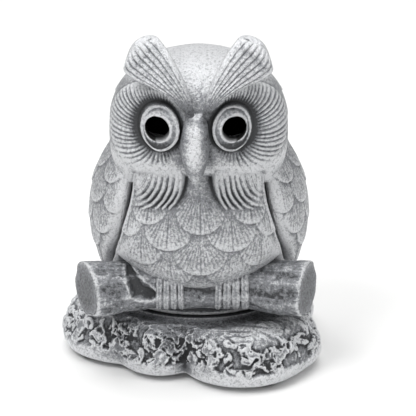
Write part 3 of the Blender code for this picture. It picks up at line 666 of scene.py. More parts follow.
def makeHead():
    # headPoint's surface moved along its radii by the face discs, nape feathers and sand, then
    # the inside; the inside's rows come first, and the eye holes are bored at the end
    weight = lambda a: 1.0 - 0.60 * smoothStep(np.abs(a), 1.45, 1.9)
    phi = denseColumns(head["columns"], weight)[None, :]
    drop = (head["bottom"] - head["middle"][2]) / head["half"][2]
    lowest = math.asin(drop) * 2 / math.pi
    # rows crowd over the face and thin out over the crown
    share = np.linspace(0, 1, head["rows"])
    level = (lowest + (0.985 - lowest) * (share * 0.82 + 0.18 * share ** 3))[:, None]
    base = headPoint(phi + 0 * level, level + 0 * phi)
    x, y, z = base[..., 0], base[..., 1], base[..., 2]
    radial = base - np.array(head["middle"])
    radial[..., 2] *= smoothStep(z, 84, 92)
    radial /= np.maximum(np.linalg.norm(radial, axis=-1, keepdims=True), 1e-6)
    front = smoothStep(np.cos(phi) + 0 * z, -0.25, 0.0)
    relief = 0 * z
    inside = 0 * z
    for side in (-1, 1):
        own = smoothStep(side * x, -0.4, 0.4)
        discRelief, disc = faceRelief(x, z, side)
        relief = relief + discRelief * own * front
        inside = np.maximum(inside, disc * own * front)
    girth = head["napeGirth"]
    napeRows = backRows(12, (58.0, 64.0, 70.0, 76.0, 82.0), 7.2, 12.0)
    nape = featherField(np.arctan2(x, -(y - head["middle"][1])) * girth, z, napeRows,
                        dict(feathers, lift=1.0, girth=girth))
    behind = smoothStep(-np.cos(phi) + 0 * z, -0.05, 0.25) * smoothStep(90.0 - z, 0, 8.0)
    relief = relief + nape * behind * (1 - inside)
    cheeks = smoothStep(66.6 - z, 0.0, 3.0) * smoothStep(21.5 - np.abs(x), 0.0, 3.0) * front
    relief = relief - 2.4 * cheeks * (1 - inside) ** 0.7
    sand = 0.05 * roughNoise(base, 1.3, 2, 23) + 0.12 * roughNoise(base, 7.0, 2, 29)
    p = base + radial * (relief + sand)[..., None]
    # the eyes' rings are flat plates that look forward and a little outward
    for side in (-1, 1):
        r = eyeRadius(x, z, side)
        on = smoothStep(face["ringOuter"] + 0.75 - r, 0.0, 0.6) * front
        ring = eyePlate(x, z, side) - eyeProfile(r)
        p[..., 1] = p[..., 1] * (1 - on) + ring * on
    inLevel = np.linspace(0.97, lowest, head["rowsIn"])[:, None]
    inner = headPoint(phi + 0 * inLevel, inLevel + 0 * phi) - np.array(head["middle"])
    shrink = 1 - head["wall"] / np.array(head["half"])
    inner = inner * shrink + np.array(head["middle"])
    inner[-1, :, 2] = p[0, :, 2]
    points = np.concatenate([inner, p])
    return cutFrom(makeMesh("head", points), [eyeBore(*eyes[side]) for side in (-1, 1)])


def eyeBore(x, z):
    # a plain bore along y, 96 sides, a little wider at its mouth
    radius = face["hole"]
    angles = fullTurn(96)
    stations = np.array([(-34.0, radius * 1.02), (-33.0, radius * 1.02), (-14.0, radius), (-13.0, radius)])
    y, r = stations[:, :1], stations[:, 1:]
    points = np.stack([x + r * np.cos(angles), y + 0 * angles, z + r * np.sin(angles)], axis=-1)
    return makeMesh("bore", points)


def torsoRubAndPaintedLight(x, y, z):
    # painted light below the face discs, painted shade under the belly and in the crease beside the wings'
    # edges, and a little more silver over the chest
    a, front, _ = torsoSection(z)
    away = (np.abs(np.arctan2(x / a, -y / front)) - wingEdge(z)) * feathers["girth"]
    # painted light over the shade of the crease between the head and the torso
    under = 0.24 * bump(z, 66.5, 2.4) * bump(np.abs(x), 10.0, 9.0)
    # painted shade under the belly's overhang, and a little more silver over the whole chest
    chest = smoothStep(-y, 5.0, 15.0) * (0.06 + under - 0.12 * smoothStep(37.5 - z, 0.0, 5.0))
    # painted shade in the crease where the breast meets the wing
    return chest - 0.40 * bump(away, 0.0, 1.6) * (y < 5.0)


def torsoSoot(x, y, z):
    # black from just under the skin inwards
    a, front, back = torsoSection(z)
    b = np.where(y < 0, front, back)
    return smoothStep((1 - np.hypot(x / a, y / b)) * b, 2.55, 3.0)


def headRubAndPaintedLight(x, y, z):
    # the eyeballs are darker, with a painted highlight on their upper outer parts and painted shade on their
    # lower inner parts and in the recess round them; the crown carries the most silver, partly a painted
    # highlight from above; painted light lifts the crease under the face and painted shade lies beside the
    # beak
    # crown: brushed silver and a painted highlight from above; the band at 67 mm is painted light over the
    # shade of the crease under the face
    rubAndPaintedLight = 0.26 * smoothStep(z, 86.0, 95.0) + 0.22 * bump(z, 67.0, 2.4) * (y < -8.0)
    # painted shade in the creases beside the beak
    rubAndPaintedLight = rubAndPaintedLight - 0.16 * bump(np.abs(x + 0.8), 4.2, 1.1) * (y < -20.0) * (z < 82.0)
    for side in (-1, 1):
        ex, ez = eyes[side]
        r = eyeRadius(x, z, side)
        on = smoothStep(face["ringOuter"] - 0.1 - r, 0.0, 0.6) * (y < -15.0)
        # lit: painted light on the eyeball's upper outer side, painted shade on its lower side towards the
        # beak
        lit = np.clip(0.5 * (z - ez) + 0.32 * side * (x - ex), -4.0, 4.0) / 4.0
        # plus painted shade in the recess round the eyeball, except on its lower inner side
        rubAndPaintedLight = rubAndPaintedLight + on * (-0.40 + 0.30 * lit) - 0.14 * bump(r, 7.6, 1.2) * (y < -12.0) * (lit > -0.4)
    return rubAndPaintedLight


def headSoot(x, y, z):
    # black over the inner surface and down the eye holes
    middle = np.array(head["middle"])
    a, b, c = np.array(head["half"]) - head["wall"]
    n = head["round"]
    m = np.hypot(x / (a + 0.9), (y - middle[1]) / (b + 0.9))
    hollow = (m ** n + np.abs((z - middle[2]) / (c + 0.9)) ** n) ** (1 / n)
    soot = smoothStep(1.02 - hollow, 0.0, 0.015)
    for side in (-1, 1):
        inHole = np.hypot(x - eyes[side][0], z - eyes[side][1]) < face["hole"] + 0.06
        soot = np.maximum(soot, inHole * smoothStep(y - eyePlate(x, z, side), -0.9, -0.5) * (y < 0))
    return soot


print("owl: torso and head")
owlPiece(makeTorso(), "owlTorso", torsoRubAndPaintedLight, torsoSoot)
owlPiece(makeHead(), "owlHead", headRubAndPaintedLight, headSoot)

# Wings.

wing = dict(top=72.5, bottom=25.5, rows=230, columns=300, lift=1.1, backEdge=158.0, sink=1.6, skinIn=0.6)
wingFeathers = dict(feathers, lift=0.62, barbPitch=1.25, barbDepth=0.075, edge=0.42)
# wing feathers, lowest first, in the same four numbers as the breast's
wingPlumes = ((62.0, 24.6, 9.0, 19.0), (79.0, 26.0, 9.0, 19.0), (47.0, 28.0, 8.0, 18.0),
              (54.5, 34.5, 8.4, 18.0), (70.5, 35.5, 8.8, 18.0), (40.5, 36.5, 6.6, 16.0),
              (86.0, 37.5, 8.8, 18.0), (33.5, 42.5, 6.2, 15.0), (46.5, 43.5, 7.2, 16.0),
              (61.5, 45.0, 8.8, 17.0), (79.0, 46.5, 8.8, 17.0), (27.5, 50.5, 5.6, 14.0),
              (38.8, 51.0, 6.4, 14.5), (53.0, 53.5, 8.2, 15.0), (70.0, 55.5, 8.6, 15.0),
              (32.0, 58.8, 6.0, 13.0), (45.0, 60.5, 7.2, 13.0), (61.0, 63.0, 8.2, 13.0),
              (26.5, 65.0, 5.4, 11.0), (38.5, 66.5, 6.4, 11.0))


def makeWing(side):
    # A long lens laid over the torso's flank. Each level is a band from the wing's front edge to
    # its back edge; the outer face stands off the torso and carries staggered large feathers.
    share = np.linspace(0.004, 0.996, wing["rows"])[:, None]
    z = wing["top"] + (wing["bottom"] - wing["top"]) * (share - 0.012 * np.sin(2 * math.pi * share))
    lens = np.sin(math.pi * share) ** 0.42
    fore = wingEdge(z) + 0.022
    aft = math.radians(wing["backEdge"]) - 0.25 * smoothStep(share, 0.55, 1.0)
    middle = fore + (aft - fore) * 0.40
    fore = middle + (fore - middle) * lens ** 0.22
    aft = middle + (aft - middle) * lens
    half = wing["columns"] // 2
    outward = np.linspace(0, 1, half)[None, :] ** 1.15
    phiOut = fore + (aft - fore) * outward
    zOut = z + 0 * phiOut
    edge = np.clip(1 - np.abs(2 * outward - 1) ** np.where(outward < 0.5, 16, 7), 0, 1) ** 0.5
    lift = (wing["lift"] + wing["sink"]) * edge * np.clip(lens * 1.6, 0, 1) - wing["sink"]
    plumage = featherField(phiOut * wingFeathers["girth"], zOut, wingPlumes, wingFeathers, wrap=False)
    roll = 0.10 * bump(outward, 0.04, 0.03) * smoothStep(lens, 0.3, 0.7)
    sand = 0.05 * roughNoise(torsoPoint(phiOut, zOut, 0), 1.3, 2, 31)
    outer = torsoPoint(phiOut * side, zOut, lift + plumage * edge ** 0.5 + roll + sand - wing["skinIn"])
    inward = np.linspace(1, 0, wing["columns"] - half + 2)[None, 1:-1]
    phiIn = fore + (aft - fore) * inward
    inner = torsoPoint(phiIn * side, z + 0 * phiIn, -wing["sink"] - 0.9 + 0 * phiIn)
    return makeMesh("wing", np.concatenate([outer, inner], axis=1))


def wingRubAndPaintedShade(x, y, z):
    # the rolled front edge is darker than the broad outer face: painted shade where the edge turns into the
    # crease by the breast
    a, front, back = torsoSection(z)
    phi = np.abs(np.arctan2(x / a, -y / np.where(y < 0, front, back)))
    away = (phi - wingEdge(z)) * feathers["girth"]
    return 0.04 - 0.40 * bump(away, 0.0, 1.4)


print("owl: wings")
for side, label in ((-1, "Left"), (1, "Right")):
    owlPiece(makeWing(side), "owlWing" + label, wingRubAndPaintedShade)

# The beak, brows, log, toes and tail.

# the beak's stations: share of its length, then its middle (across, away, up), half width, half depth
beak = dict(stations=((0.0, -0.7, -25.8, 84.0, 1.7, 1.6), (0.12, -0.7, -27.6, 82.4, 3.0, 2.8),
                      (0.35, -0.9, -29.2, 78.6, 3.9, 3.7), (0.6, -1.0, -30.4, 74.6, 4.2, 4.2),
                      (0.78, -1.0, -31.6, 70.8, 3.4, 3.8), (0.92, -0.9, -32.6, 67.4, 2.1, 2.6),
                      (1.0, -0.8, -32.7, 65.4, 0.7, 1.0)), rows=90, columns=64)


def makeBeak():
    # a tapering tube whose sections are rounded wedges, keeled in front
    row = through(np.linspace(0, 1, beak["rows"]), beak["stations"])
    spine, wide, deep = row[:, :3], row[:, 3:4], row[:, 4:5]
    a = fullTurn(beak["columns"])
    keel = 1 + 0.05 * np.maximum(-np.sin(a), 0) ** 3
    x = wide * np.sign(np.cos(a)) * np.abs(np.cos(a)) ** 0.95
    y = deep * np.sin(a) * keel
    points = spine[:, None, :] + np.stack([x, y, 0.35 * y], axis=-1)
    points[..., 1] -= 0.06 * roughNoise(points, 2.0, 2, 41)
    return makeMesh("beak", points)


def beakRubAndPaintedLight(x, y, z):
    # a painted highlight down the upper ridge, left of its middle, and painted shade at the tip and along
    # the sides
    flank = smoothStep(np.abs(x + 1.3), 0.3, 4.2)
    return (0.04 - 0.44 * flank) * smoothStep(z, 66.0, 75.0) - 0.32 * smoothStep(75.0 - z, 0.0, 8.0) - 0.10


# the brows' inner and outer edges: share of the length, then a point (across, away, up)
brow = dict(
    inner=((0.0, 0.9, -26.6, 82.4), (0.18, 1.8, -27.2, 87.0), (0.38, 3.3, -26.2, 91.6),
           (0.62, 6.0, -23.6, 96.8), (0.84, 9.2, -20.4, 101.6), (1.0, 11.4, -18.4, 104.0)),
    outer=((0.0, 2.6, -27.0, 82.6), (0.18, 5.2, -27.9, 86.6), (0.38, 8.8, -27.2, 89.7),
           (0.62, 13.6, -25.2, 91.9), (0.84, 18.4, -22.2, 93.3), (1.0, 21.4, -20.4, 94.8)),
    ridges=8, ridgeHeight=0.62, bulge=1.7, back=4.2, overrun=4.0, rows=170, columns=260)


def makeBrow(side):
    # A fan between two curves that start at the beak's root: the inner one climbs, the outer one
    # sweeps out and up. Rounded ribs run along it, and its end is a round over-run.
    t = np.linspace(0.0, 1.0, brow["rows"])
    along = np.clip(t / 0.9, 0, 1)
    over = np.clip((t - 0.9) / 0.1, 0, 1)
    inner, outer = through(along, brow["inner"]), through(along, brow["outer"])
    onward = np.array([0.62, 0.30, 0.72])
    grow = np.sin(over * math.pi / 2)[:, None] * brow["overrun"] * onward
    narrow = (np.sqrt(np.clip(1 - over ** 2, 0, 1)) * 0.98 + 0.02)[:, None, None]
    start = smoothStep(t, 0.0, 0.05)[:, None, None]
    u, face = overAndBack(brow["columns"], 0, 1)
    middle = (inner + outer)[:, None, :] / 2
    edge = inner[:, None, :] + (outer - inner)[:, None, :] * u[..., None]
    # the far end rounds off: ribs near the middle run on further than those at the sides
    body = middle + (edge - middle) * (0.35 + 0.65 * narrow) + grow[:, None, :] * (
        1 - 0.55 * (2 * u - 1) ** 2)[..., None]
    thick = np.clip(1 - np.abs(2 * u - 1) ** 3.2, 0, 1) ** 0.6
    width = np.linalg.norm(outer - inner, axis=1)[:, None]
    wave = np.abs(np.sin(math.pi * brow["ridges"] * u)) ** 0.75
    ribs = brow["ridgeHeight"] * (wave - 0.35) * smoothStep(width, 1.5, 9.0) * (1 - 0.5 * over[:, None])
    size = (0.35 + 0.65 * smoothStep(width, 1.0, 9.0)) * start[..., 0]
    frontOut = (brow["bulge"] * thick * size + ribs * thick) * face
    backOut = -(brow["back"] * thick * size) * (1 - face)
    depth = (frontOut + backOut) * narrow[..., 0]
    push = np.array([0.10, -0.93, -0.30])
    points = body + depth[..., None] * push
    points[..., 0] *= side
    return makeMesh("brow", points)


def browRub(x, y, z):
    # silver grows with height, so the brows darken towards the beak
    return -0.20 + 0.32 * smoothStep(z, 83.0, 92.0)


log = dict(left=-34.2, right=33.0, forward=-19.5, height=27.7, radius=7.55, cutLeft=24.0, cutRight=20.0,
           capRows=26, rows=330, columns=230)
# the carved knot's path over the log's front: across, up, half width
knot = ((-21.2, 35.0, 0.8), (-19.6, 31.6, 2.0), (-17.6, 29.0, 2.7), (-14.4, 27.4, 1.8), (-12.0, 27.2, 0.6))


def knotGouge(x, z, ragged):
    # 1 in the knot and 0 outside: a smooth step of the distance from its path over its half width
    gouge = 0.0
    for (ax, az, aw), (bx, bz, bw) in zip(knot[:-1], knot[1:]):
        run = (bx - ax) ** 2 + (bz - az) ** 2
        k = np.clip(((x - ax) * (bx - ax) + (z - az) * (bz - az)) / run, 0, 1)
        away = np.hypot(x - ax - k * (bx - ax), z - az - k * (bz - az)) + 0.7 * ragged
        gouge = np.maximum(gouge, smoothStep(1.2 - away / (aw + (bw - aw) * k), 0.0, 0.8))
    return gouge


def makeLog():
    # A lying log: the radius swells to both ends, long waves and fine fibres run along it, and a
    # knot is carved into its left front. The slanting end faces close to their middles.
    a = fullTurn(log["columns"])                     # 0 is forward, up is +
    capRows = log["capRows"]
    t = np.concatenate([np.zeros(capRows), np.linspace(0, 1, log["rows"] - 2 * capRows), np.ones(capRows)])
    cap = np.concatenate([np.linspace(0.02, 1, capRows), np.ones(log["rows"] - 2 * capRows),
                          np.linspace(1, 0.02, capRows)])[:, None]
    t = t[:, None]
    end = np.abs(2 * t - 1)
    radius = log["radius"] + 0.95 * smoothStep(end, 0.45, 1.0) - 0.15 * smoothStep(0.5 - end, 0, 0.5)
    # flats make the section a worn many-sided shape
    shape = (1 + 0.030 * np.cos(3 * a + 0.8) + 0.026 * np.cos(5 * a + 2.1 + 0.8 * t)
             + 0.022 * np.cos(8 * a + 2.0 * t))
    shape = shape - 0.05 * smoothStep(-np.sin(a), 0.55, 0.95)     # flatter underneath
    around = a * log["radius"]
    x0 = log["left"] + (log["right"] - log["left"]) * t
    sag = smoothStep(end, 0.35, 1.0)
    here = np.stack([x0 + 0 * a, around + 0 * t, 0 * (a + t)], axis=-1)
    waves = roughNoise(here * np.array([0.13, 0.45, 1.0]), 1.0, 3, 51)
    fibres = roughNoise(here * np.array([0.22, 2.3, 1.0]), 1.0, 2, 57)
    bark = 0.36 * waves + 0.07 * fibres + 0.20 * roughNoise(here, 1.5, 2, 59)
    bark = bark - 0.16 * smoothStep(-waves, 0.35, 0.55)
    onSkin = (cap >= 1.0) * smoothStep(1 - end, 0.0, 0.03)
    r = radius * shape * cap + bark * onSkin
    # rounded rim of each end face
    r = r - 0.45 * smoothStep(end, 0.985, 1.0) * (cap >= 1.0)
    cut = np.radians(np.where(t < 0.5, -log["cutLeft"], log["cutRight"]))
    forward = -np.cos(a) * r
    x = x0 + forward * np.tan(cut) * smoothStep(end, 0.25, 1.0)
    y = log["forward"] - 1.0 * sag + forward
    z = log["height"] - 1.1 * sag + np.sin(a) * r
    # carved knot: a bent gouge that wanders down the left front, with a chipped flake beside it
    ragged = 0.9 * roughNoise(np.stack([x, z, 0 * x], -1), 2.4, 2, 63)
    gouge = knotGouge(x, z, ragged)
    front = (np.cos(a) > -0.2) * onSkin
    flake = bump(np.hypot((x + 21.4) / 2.4, (z - 27.4) / 2.0) + 0.4 * ragged, 0.0, 0.7)
    y = y + (1.9 * gouge - 0.5 * flake * (1 - gouge)) * front
    return makeMesh("log", np.stack([x, y, z], axis=-1))


def logRubAndPaintedHighlight(x, y, z):
    # the log is left darker than the owl; the lighter band along its top is a painted highlight
    return -0.15 + 0.07 * smoothStep(z, 31.0, 35.0)


# each toe's middle across the log and its width, from the left of each foot to the right
foot = dict(toes={"Left": ((-11.7, 2.0), (-9.6, 2.1), (-7.5, 2.1), (-5.4, 1.9)),
                  "Right": ((6.0, 2.1), (8.5, 2.5), (11.1, 2.5), (13.8, 2.4))}, rows=90, columns=40)


def makeToe(x, width, bend):
    # a rounded bar wrapped down the front of the log, with two knuckles and a blunt end
    t = np.linspace(0, 1, foot["rows"])
    angle = np.radians(58 - 104 * t)
    a = fullTurn(foot["columns"])
    size = np.clip(1 - np.abs(2 * t - 1) ** 6, 0, 1) ** 0.5
    knuckle = 1 + 0.10 * bump(t, 0.30, 0.07) + 0.12 * bump(t, 0.62, 0.08) - 0.06 * bump(t, 0.47, 0.05)
    wide = (width / 2 * size * knuckle + 0.02)[:, None] * np.cos(a)
    thick = (1.15 * size * knuckle + 0.02)[:, None] * np.sin(a)
    reach = log["radius"] - 0.15
    radial = np.stack([0 * angle, -np.cos(angle), np.sin(angle)], axis=-1)[:, None, :]
    spine = np.stack([x + bend * (t - 0.4), log["forward"] - reach * np.cos(angle),
                      log["height"] + reach * np.sin(angle)], axis=-1)
    groove = -0.16 * (0.5 + 0.5 * np.cos(3 * a + 1.2)) ** 3 * np.maximum(np.sin(a), 0)
    rings = wide[..., None] * np.array([1.0, 0, 0]) + (thick + groove)[..., None] * radial
    points = spine[:, None, :] + rings
    points[..., 1] -= 0.10 * roughNoise(points, 1.6, 2, 61)
    return makeMesh("toe", points)


def toeRub(x, y, z):
    # the toes are left a little darker than the belly, by the same amount everywhere
    return -0.16


tail = dict(width=22.0, top=48.0, bottom=20.9, rows=120, columns=180)


def makeTail():
    # a flat fan down the back in five long feathers, each with a shaft and slanting barbs
    t = np.linspace(0.01, 0.99, tail["rows"])[:, None]
    u, face = overAndBack(tail["columns"], -1, 1)
    z = tail["top"] + (tail["bottom"] - tail["top"]) * t
    wide = tail["width"] / 2 * (0.55 + 0.45 * smoothStep(t, 0, 0.5)) * np.sin(math.pi * t) ** 0.25
    back = torsoSection(z)[2]
    x = wide * u
    y = back + 1.6 * smoothStep(t, 0, 0.6) * (1 - 0.6 * u * u)
    feather = u * 2.5
    shaft = feather - np.round(feather)
    thick = np.clip(1 - np.abs(u) ** 5, 0, 1) ** 0.5 * np.sin(math.pi * t) ** 0.3
    ribs = 0.7 * (1 - (2 * shaft) ** 2) ** 0.5 - 0.25 + 0.22 * bump(shaft, 0, 0.06)
    barbs = 0.09 * np.cos(2 * math.pi * (z / 1.25 + np.abs(shaft) * 3.0))
    y = y + ((1.5 + ribs + barbs) * face - 2.6 * (1 - face)) * thick
    return makeMesh("tail", np.stack([x, y, z + 0 * x], axis=-1))


print("owl: beak, brows, log, feet and tail")
owlPiece(makeBeak(), "owlBeak", beakRubAndPaintedLight)
for side, label in ((-1, "Left"), (1, "Right")):
    owlPiece(makeBrow(side), "owlBrow" + label, browRub)
owlPiece(makeLog(), "perchLog", logRubAndPaintedHighlight)
owlPiece(makeTail(), "owlTail")
for label, toes in foot["toes"].items():
    for number, (across, width) in enumerate(toes, 1):
        owlPiece(makeToe(across, width, 0.3 * (number - 2.5)), f"toe{label}{number}", toeRub)

# The rock.

# lobes: middle across, middle away and radius, in shares that rockOutline fits to the real size
rock = dict(
    lobes=((-0.47, 0.02, 0.54), (-0.23, -0.43, 0.31), (0.40, -0.47, 0.48), (0.68, -0.32, 0.33),
           (0.42, 0.04, 0.46), (0.54, 0.42, 0.45), (0.05, 0.49, 0.45), (-0.44, 0.42, 0.40)),
    blend=22, columns=690, rows=138, seat=18.5, seatBand=2.6, standoff=1.2, foot=25.03, deep=22.0,
    rimGap=0.5, ledge=1.6, ledgeDrop=1.2, wellAir=1.8, pocketRadius=4.75, pocketDepth=0.72,
    pitSize=3.0, pitDepth=0.66, ridge=0.42)


def rockReach(angle):
    # the blended union of round lobes: each lobe's reach along the ray, to a high power, summed
    ux, uy = np.cos(angle), np.sin(angle)
    total = 0.0
    for x, y, radius in rock["lobes"]:
        along = x * ux + y * uy
        inside = along * along - (x * x + y * y) + radius * radius
        reach = np.where(inside > 0, along + np.sqrt(np.maximum(inside, 0)), 0.0)
        total = total + np.maximum(reach, 0.0) ** rock["blend"]
    return total ** (1.0 / rock["blend"])


def rockOutline(angle):
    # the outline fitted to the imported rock's own box
    many = np.linspace(0, 2 * math.pi, 96, endpoint=False)
    raw, here = (rockReach(a)[:, None] * np.stack([np.cos(a), np.sin(a)], 1) for a in (many, angle))
    low, high = raw.min(0), raw.max(0)
    sides = (rockHigh - rockLow)[:2]
    return (here - (low + high) / 2) * sides / (high - low)


def rockStations(outline, soft):
    # The rings that the skin runs through, each with its height: from the middle of the dish's
    # well, over the lip and the seat, down the flank and under to the middle of the underside. A
    # ring is the outline drawn in by an inset, or an ellipse round the owl's axis.
    def inset(amount, softness=0.0):
        ring = outline * (1 - softness) + soft * softness
        size = np.linalg.norm(ring, axis=1, keepdims=True)
        return ring * (size - amount) / size

    def ellipse(across, deep):
        seen = outline - axisPlace[:2]
        turn = np.arctan2(seen[:, 1] / deep, seen[:, 0] / across)
        return np.stack([axisPlace[0] + across * np.cos(turn), axisPlace[1] + deep * np.sin(turn)], 1)

    foot, deep, seat, under = (rock[key] for key in ("foot", "deep", "seat", "standoff"))
    rim = (dishHigh[0] - dishLow[0]) / 2 + rock["rimGap"]
    bore, floorZ = rim - rock["ledge"], dishLow[2] - rock["wellAir"]
    lipTop, ledge = rockHigh[2], dishHigh[2] - rock["ledgeDrop"]
    seatRing = ellipse(foot + rock["seatBand"], deep + rock["seatBand"])
    return [
        (ellipse(1.0, 1.0), floorZ), (ellipse(bore - 1.0, bore - 1.0), floorZ),
        (ellipse(bore, bore), floorZ + 1.0), (ellipse(bore, bore), ledge),
        (ellipse(rim, rim), ledge), (ellipse(rim, rim), lipTop),
        (ellipse(foot - 4.5, deep - 4.5), lipTop), (ellipse(foot - 3.8, deep - 3.8), lipTop - 0.7),
        (ellipse(foot - 3.8, deep - 3.8), seat), (ellipse(foot + 1.2, deep + 1.2), seat),
        (seatRing, seat - 0.5), (seatRing * 0.42 + inset(1.9, 0.9) * 0.58, seat - 1.7),
        (seatRing * 0.12 + inset(2.2, 0.9) * 0.88, seat - 3.6), (inset(1.7, 0.7), seat - 7.2),
        (inset(0.5, 0.3), seat - 10.6), (inset(0.1), 5.0), (inset(0.6), 3.1), (inset(1.5), 1.9),
        (inset(3.2), under), (inset(13.0), under), (inset(13.0), 2.8), (inset(14.0), 3.6),
        (inset(30.0), 3.6)]


def rockBase(rings):
    # Rows between the rings: straight runs for the plain turned part and cubic ones over the
    # flank. Also each row's place counted in rings, and 1 where it is flank.
    gap = np.linalg.norm(np.diff(rings, axis=0), axis=-1).mean(1)
    gap = gap * np.array([0.10] * 9 + [1.0] * 8 + [0.40, 0.30] + [0.10] * 3)    # most rows on the flank
    knots = np.concatenate([[0], np.cumsum(gap)])
    t = np.unique(np.concatenate([np.linspace(0, knots[-1], rock["rows"] - len(knots)), knots]))
    i = np.clip(np.searchsorted(knots, t, side="right") - 1, 0, len(knots) - 2)
    span = (knots[i + 1] - knots[i])[:, None, None]
    s = (t - knots[i])[:, None, None] / span
    straight = rings[i] * (1 - s) + rings[i + 1] * s
    slopes = np.gradient(rings, knots, axis=0)
    curved = cubicPiece(rings[i], rings[i + 1], slopes[i] * span, slopes[i + 1] * span, s)
    station = i + s[:, 0, 0]
    flank = (smoothStep(station, 9.6, 10.6) * smoothStep(17.6 - station, 0.0, 1.0))[:, None]
    return straight * (1 - flank[..., None]) + curved * flank[..., None], station, flank


def chiselled(base, station, flank):
    # Flat-bottomed pits where one warped noise is high, a bright worm-like ridge along their
    # edges and a second, finer net of ridges between them; the level top is only stroked.
    warp = np.stack([roughNoise(base, 4.0, 2, seed) for seed in (71, 73, 79)], -1)
    field = roughNoise(base + 2.6 * warp, rock["pitSize"], 3, 83)
    second = roughNoise(base + 1.8 * warp, rock["pitSize"] * 0.5, 3, 89)
    low = 5.6 + 1.6 * roughNoise(base, 9.0, 2, 97)
    zone = smoothStep(station, 11.0, 12.6)[:, None] * smoothStep(base[..., 2], low, low + 1.6)
    pits = smoothStep(field, 0.03, 0.10)
    broken = smoothStep(roughNoise(base, 2.6, 2, 113), -0.30, 0.15)
    net = 0.9 * bump(second, 0.05, 0.09) * (1 - 0.5 * pits) * (1.1 - 0.7 * broken)
    worm = bump(field, 0.0, 0.075) * broken + net
    chips = smoothStep(second, 0.20, 0.30) * (1 - pits)
    relief = (rock["ridge"] * worm - rock["pitDepth"] * pits - 0.40 * chips) * zone
    # long shallow scratches that run round the seat
    strokes = smoothStep(station, 10.2, 11.0)[:, None] * (1 - zone) * smoothStep(base[..., 2], 11.0, 14.0)
    lines = roughNoise(base * np.array([0.45, 1.5, 1.5]) + 0.8 * warp, 2.2, 3, 107)
    relief = relief + (0.42 * lines + 0.22 * bump(lines, 0.1, 0.08)) * strokes
    relief = relief + 0.16 * roughNoise(base, 2.0, 3, 101) * flank
    return relief + 0.60 * roughNoise(base, 13.0, 2, 103) * zone


def makeRock():
    # one skin through rockStations' rings, moved along its normals by the chiselled relief; its
    # columns crowd towards the front
    angle = denseColumns(rock["columns"], lambda a: 1.0 + 1.3 * smoothStep(-np.sin(a), -0.35, 0.1), 0.0)
    outline = rockOutline(angle)
    # the notches between lobes are deep at the foot and shallow at the shoulder, where the
    # outline is averaged over its neighbours by a bell
    spread = np.linspace(0, 2 * math.pi, 251)[:-1]
    apart = (angle[:, None] - spread[None, :] + math.pi) % (2 * math.pi) - math.pi
    kernel = np.exp(-(apart / 0.17) ** 2)
    soft = kernel @ rockOutline(spread) / kernel.sum(1, keepdims=True)
    rings = np.array([np.concatenate([ring, np.full((len(ring), 1), z)], 1)
                      for ring, z in rockStations(outline, soft)])
    base, station, flank = rockBase(rings)
    normal = np.cross(np.roll(base, -1, axis=1) - np.roll(base, 1, axis=1), np.gradient(base, axis=0))
    normal /= np.maximum(np.linalg.norm(normal, axis=-1, keepdims=True), 1e-9)
    normal *= np.sign((normal * (base - np.array([0, 0, 8.0]))).sum(-1).mean())
    points = base + normal * chiselled(base, station, flank)[..., None]
    # a shallow round pocket over each pad
    under = (station[:, None] > 18.0) & (station[:, None] < 19.2)
    for number in (1, 2, 3, 4):
        middle, _, _ = middleOf(f"foot_pad_{number}")
        away = np.hypot(points[..., 0] - middle[0], points[..., 1] - middle[1])
        points[..., 2] += rock["pocketDepth"] * smoothStep(rock["pocketRadius"] - away, 0.0, 0.35) * under
    points = np.clip(points, rockLow + 0.02, rockHigh - 0.02)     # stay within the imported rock's sides
    return makeMesh("rock", points, about=np.zeros(3))


def rockRubAndPaintedShade(x, y, z):
    # the level top close to the owl is darker: painted shade under the owl's overhanging body; most silver
    # on the rounded foot
    near = np.hypot(x / 31.0, y / 28.0)
    return -0.10 * smoothStep(1.12 - near, 0.0, 0.10) - 0.02 + 0.05 * smoothStep(6.0 - z, 0.0, 3.0)


print("rock")
finishPiece(makeRock(), "rockCasting", "base", rockFinish, "rock_base", rockRubAndPaintedShade)

# Dish, stand, mat and pads: turned shapes.


def turned(name, profile, columns, place, uneven=0.0, seed=5):
    # a profile of (radius, height) corners, walked in fifth-millimetre steps, its corners rounded
    # by averaging, spun about an upright axis; a little lattice noise makes cloth uneven
    corners = np.array(profile, float)
    run = np.concatenate([[0], np.cumsum(np.linalg.norm(np.diff(corners, axis=0), axis=1))])
    walk = np.linspace(0, run[-1], int(run[-1] / 0.2))
    path = np.stack([np.interp(walk, run, corners[:, k]) for k in (0, 1)], 1)
    for _ in range(3):
        path[1:-1] = (path[:-2] + 2 * path[1:-1] + path[2:]) / 4
    a = fullTurn(columns)
    r, z = path[:, :1], path[:, 1:]
    points = np.stack([r * np.cos(a), r * np.sin(a), z + 0 * a], axis=-1)
    if uneven:
        points = points * (1 + uneven * roughNoise(points, 0.9, 2, seed)[..., None] * np.array([1, 1, 0.0]))
    return makeMesh(name, points, about=np.array([place[0], place[1], 0.0]))


def makeDish():
    # a pressed cup: flat floor with one bead, upright side, flat rim with a rolled edge
    middle, low, high = middleOf("ash_dish")
    rim = (high[0] - low[0]) / 2 - 0.02
    wall, sheet, z0, z1 = rim - 1.6, 0.9, low[2] + 0.02, high[2] - 0.02
    profile = ((0.2, z0 + 0.1), (8.6, z0 + 0.1), (9.2, z0 + 0.3), (9.8, z0), (wall - 1.0, z0),
               (wall, z0 + 1.0), (wall, z1 - sheet), (rim - 0.4, z1 - sheet - 0.15), (rim, z1 - sheet),
               (rim, z1), (wall - sheet + 0.6, z1), (wall - sheet, z1 - 0.6),
               (wall - sheet, z0 + sheet + 0.5), (wall - sheet - 0.5, z0 + sheet),
               (9.8, z0 + sheet), (9.2, z0 + sheet + 0.3), (8.6, z0 + sheet), (0.2, z0 + sheet))
    return turned("dish", profile, 220, middle)


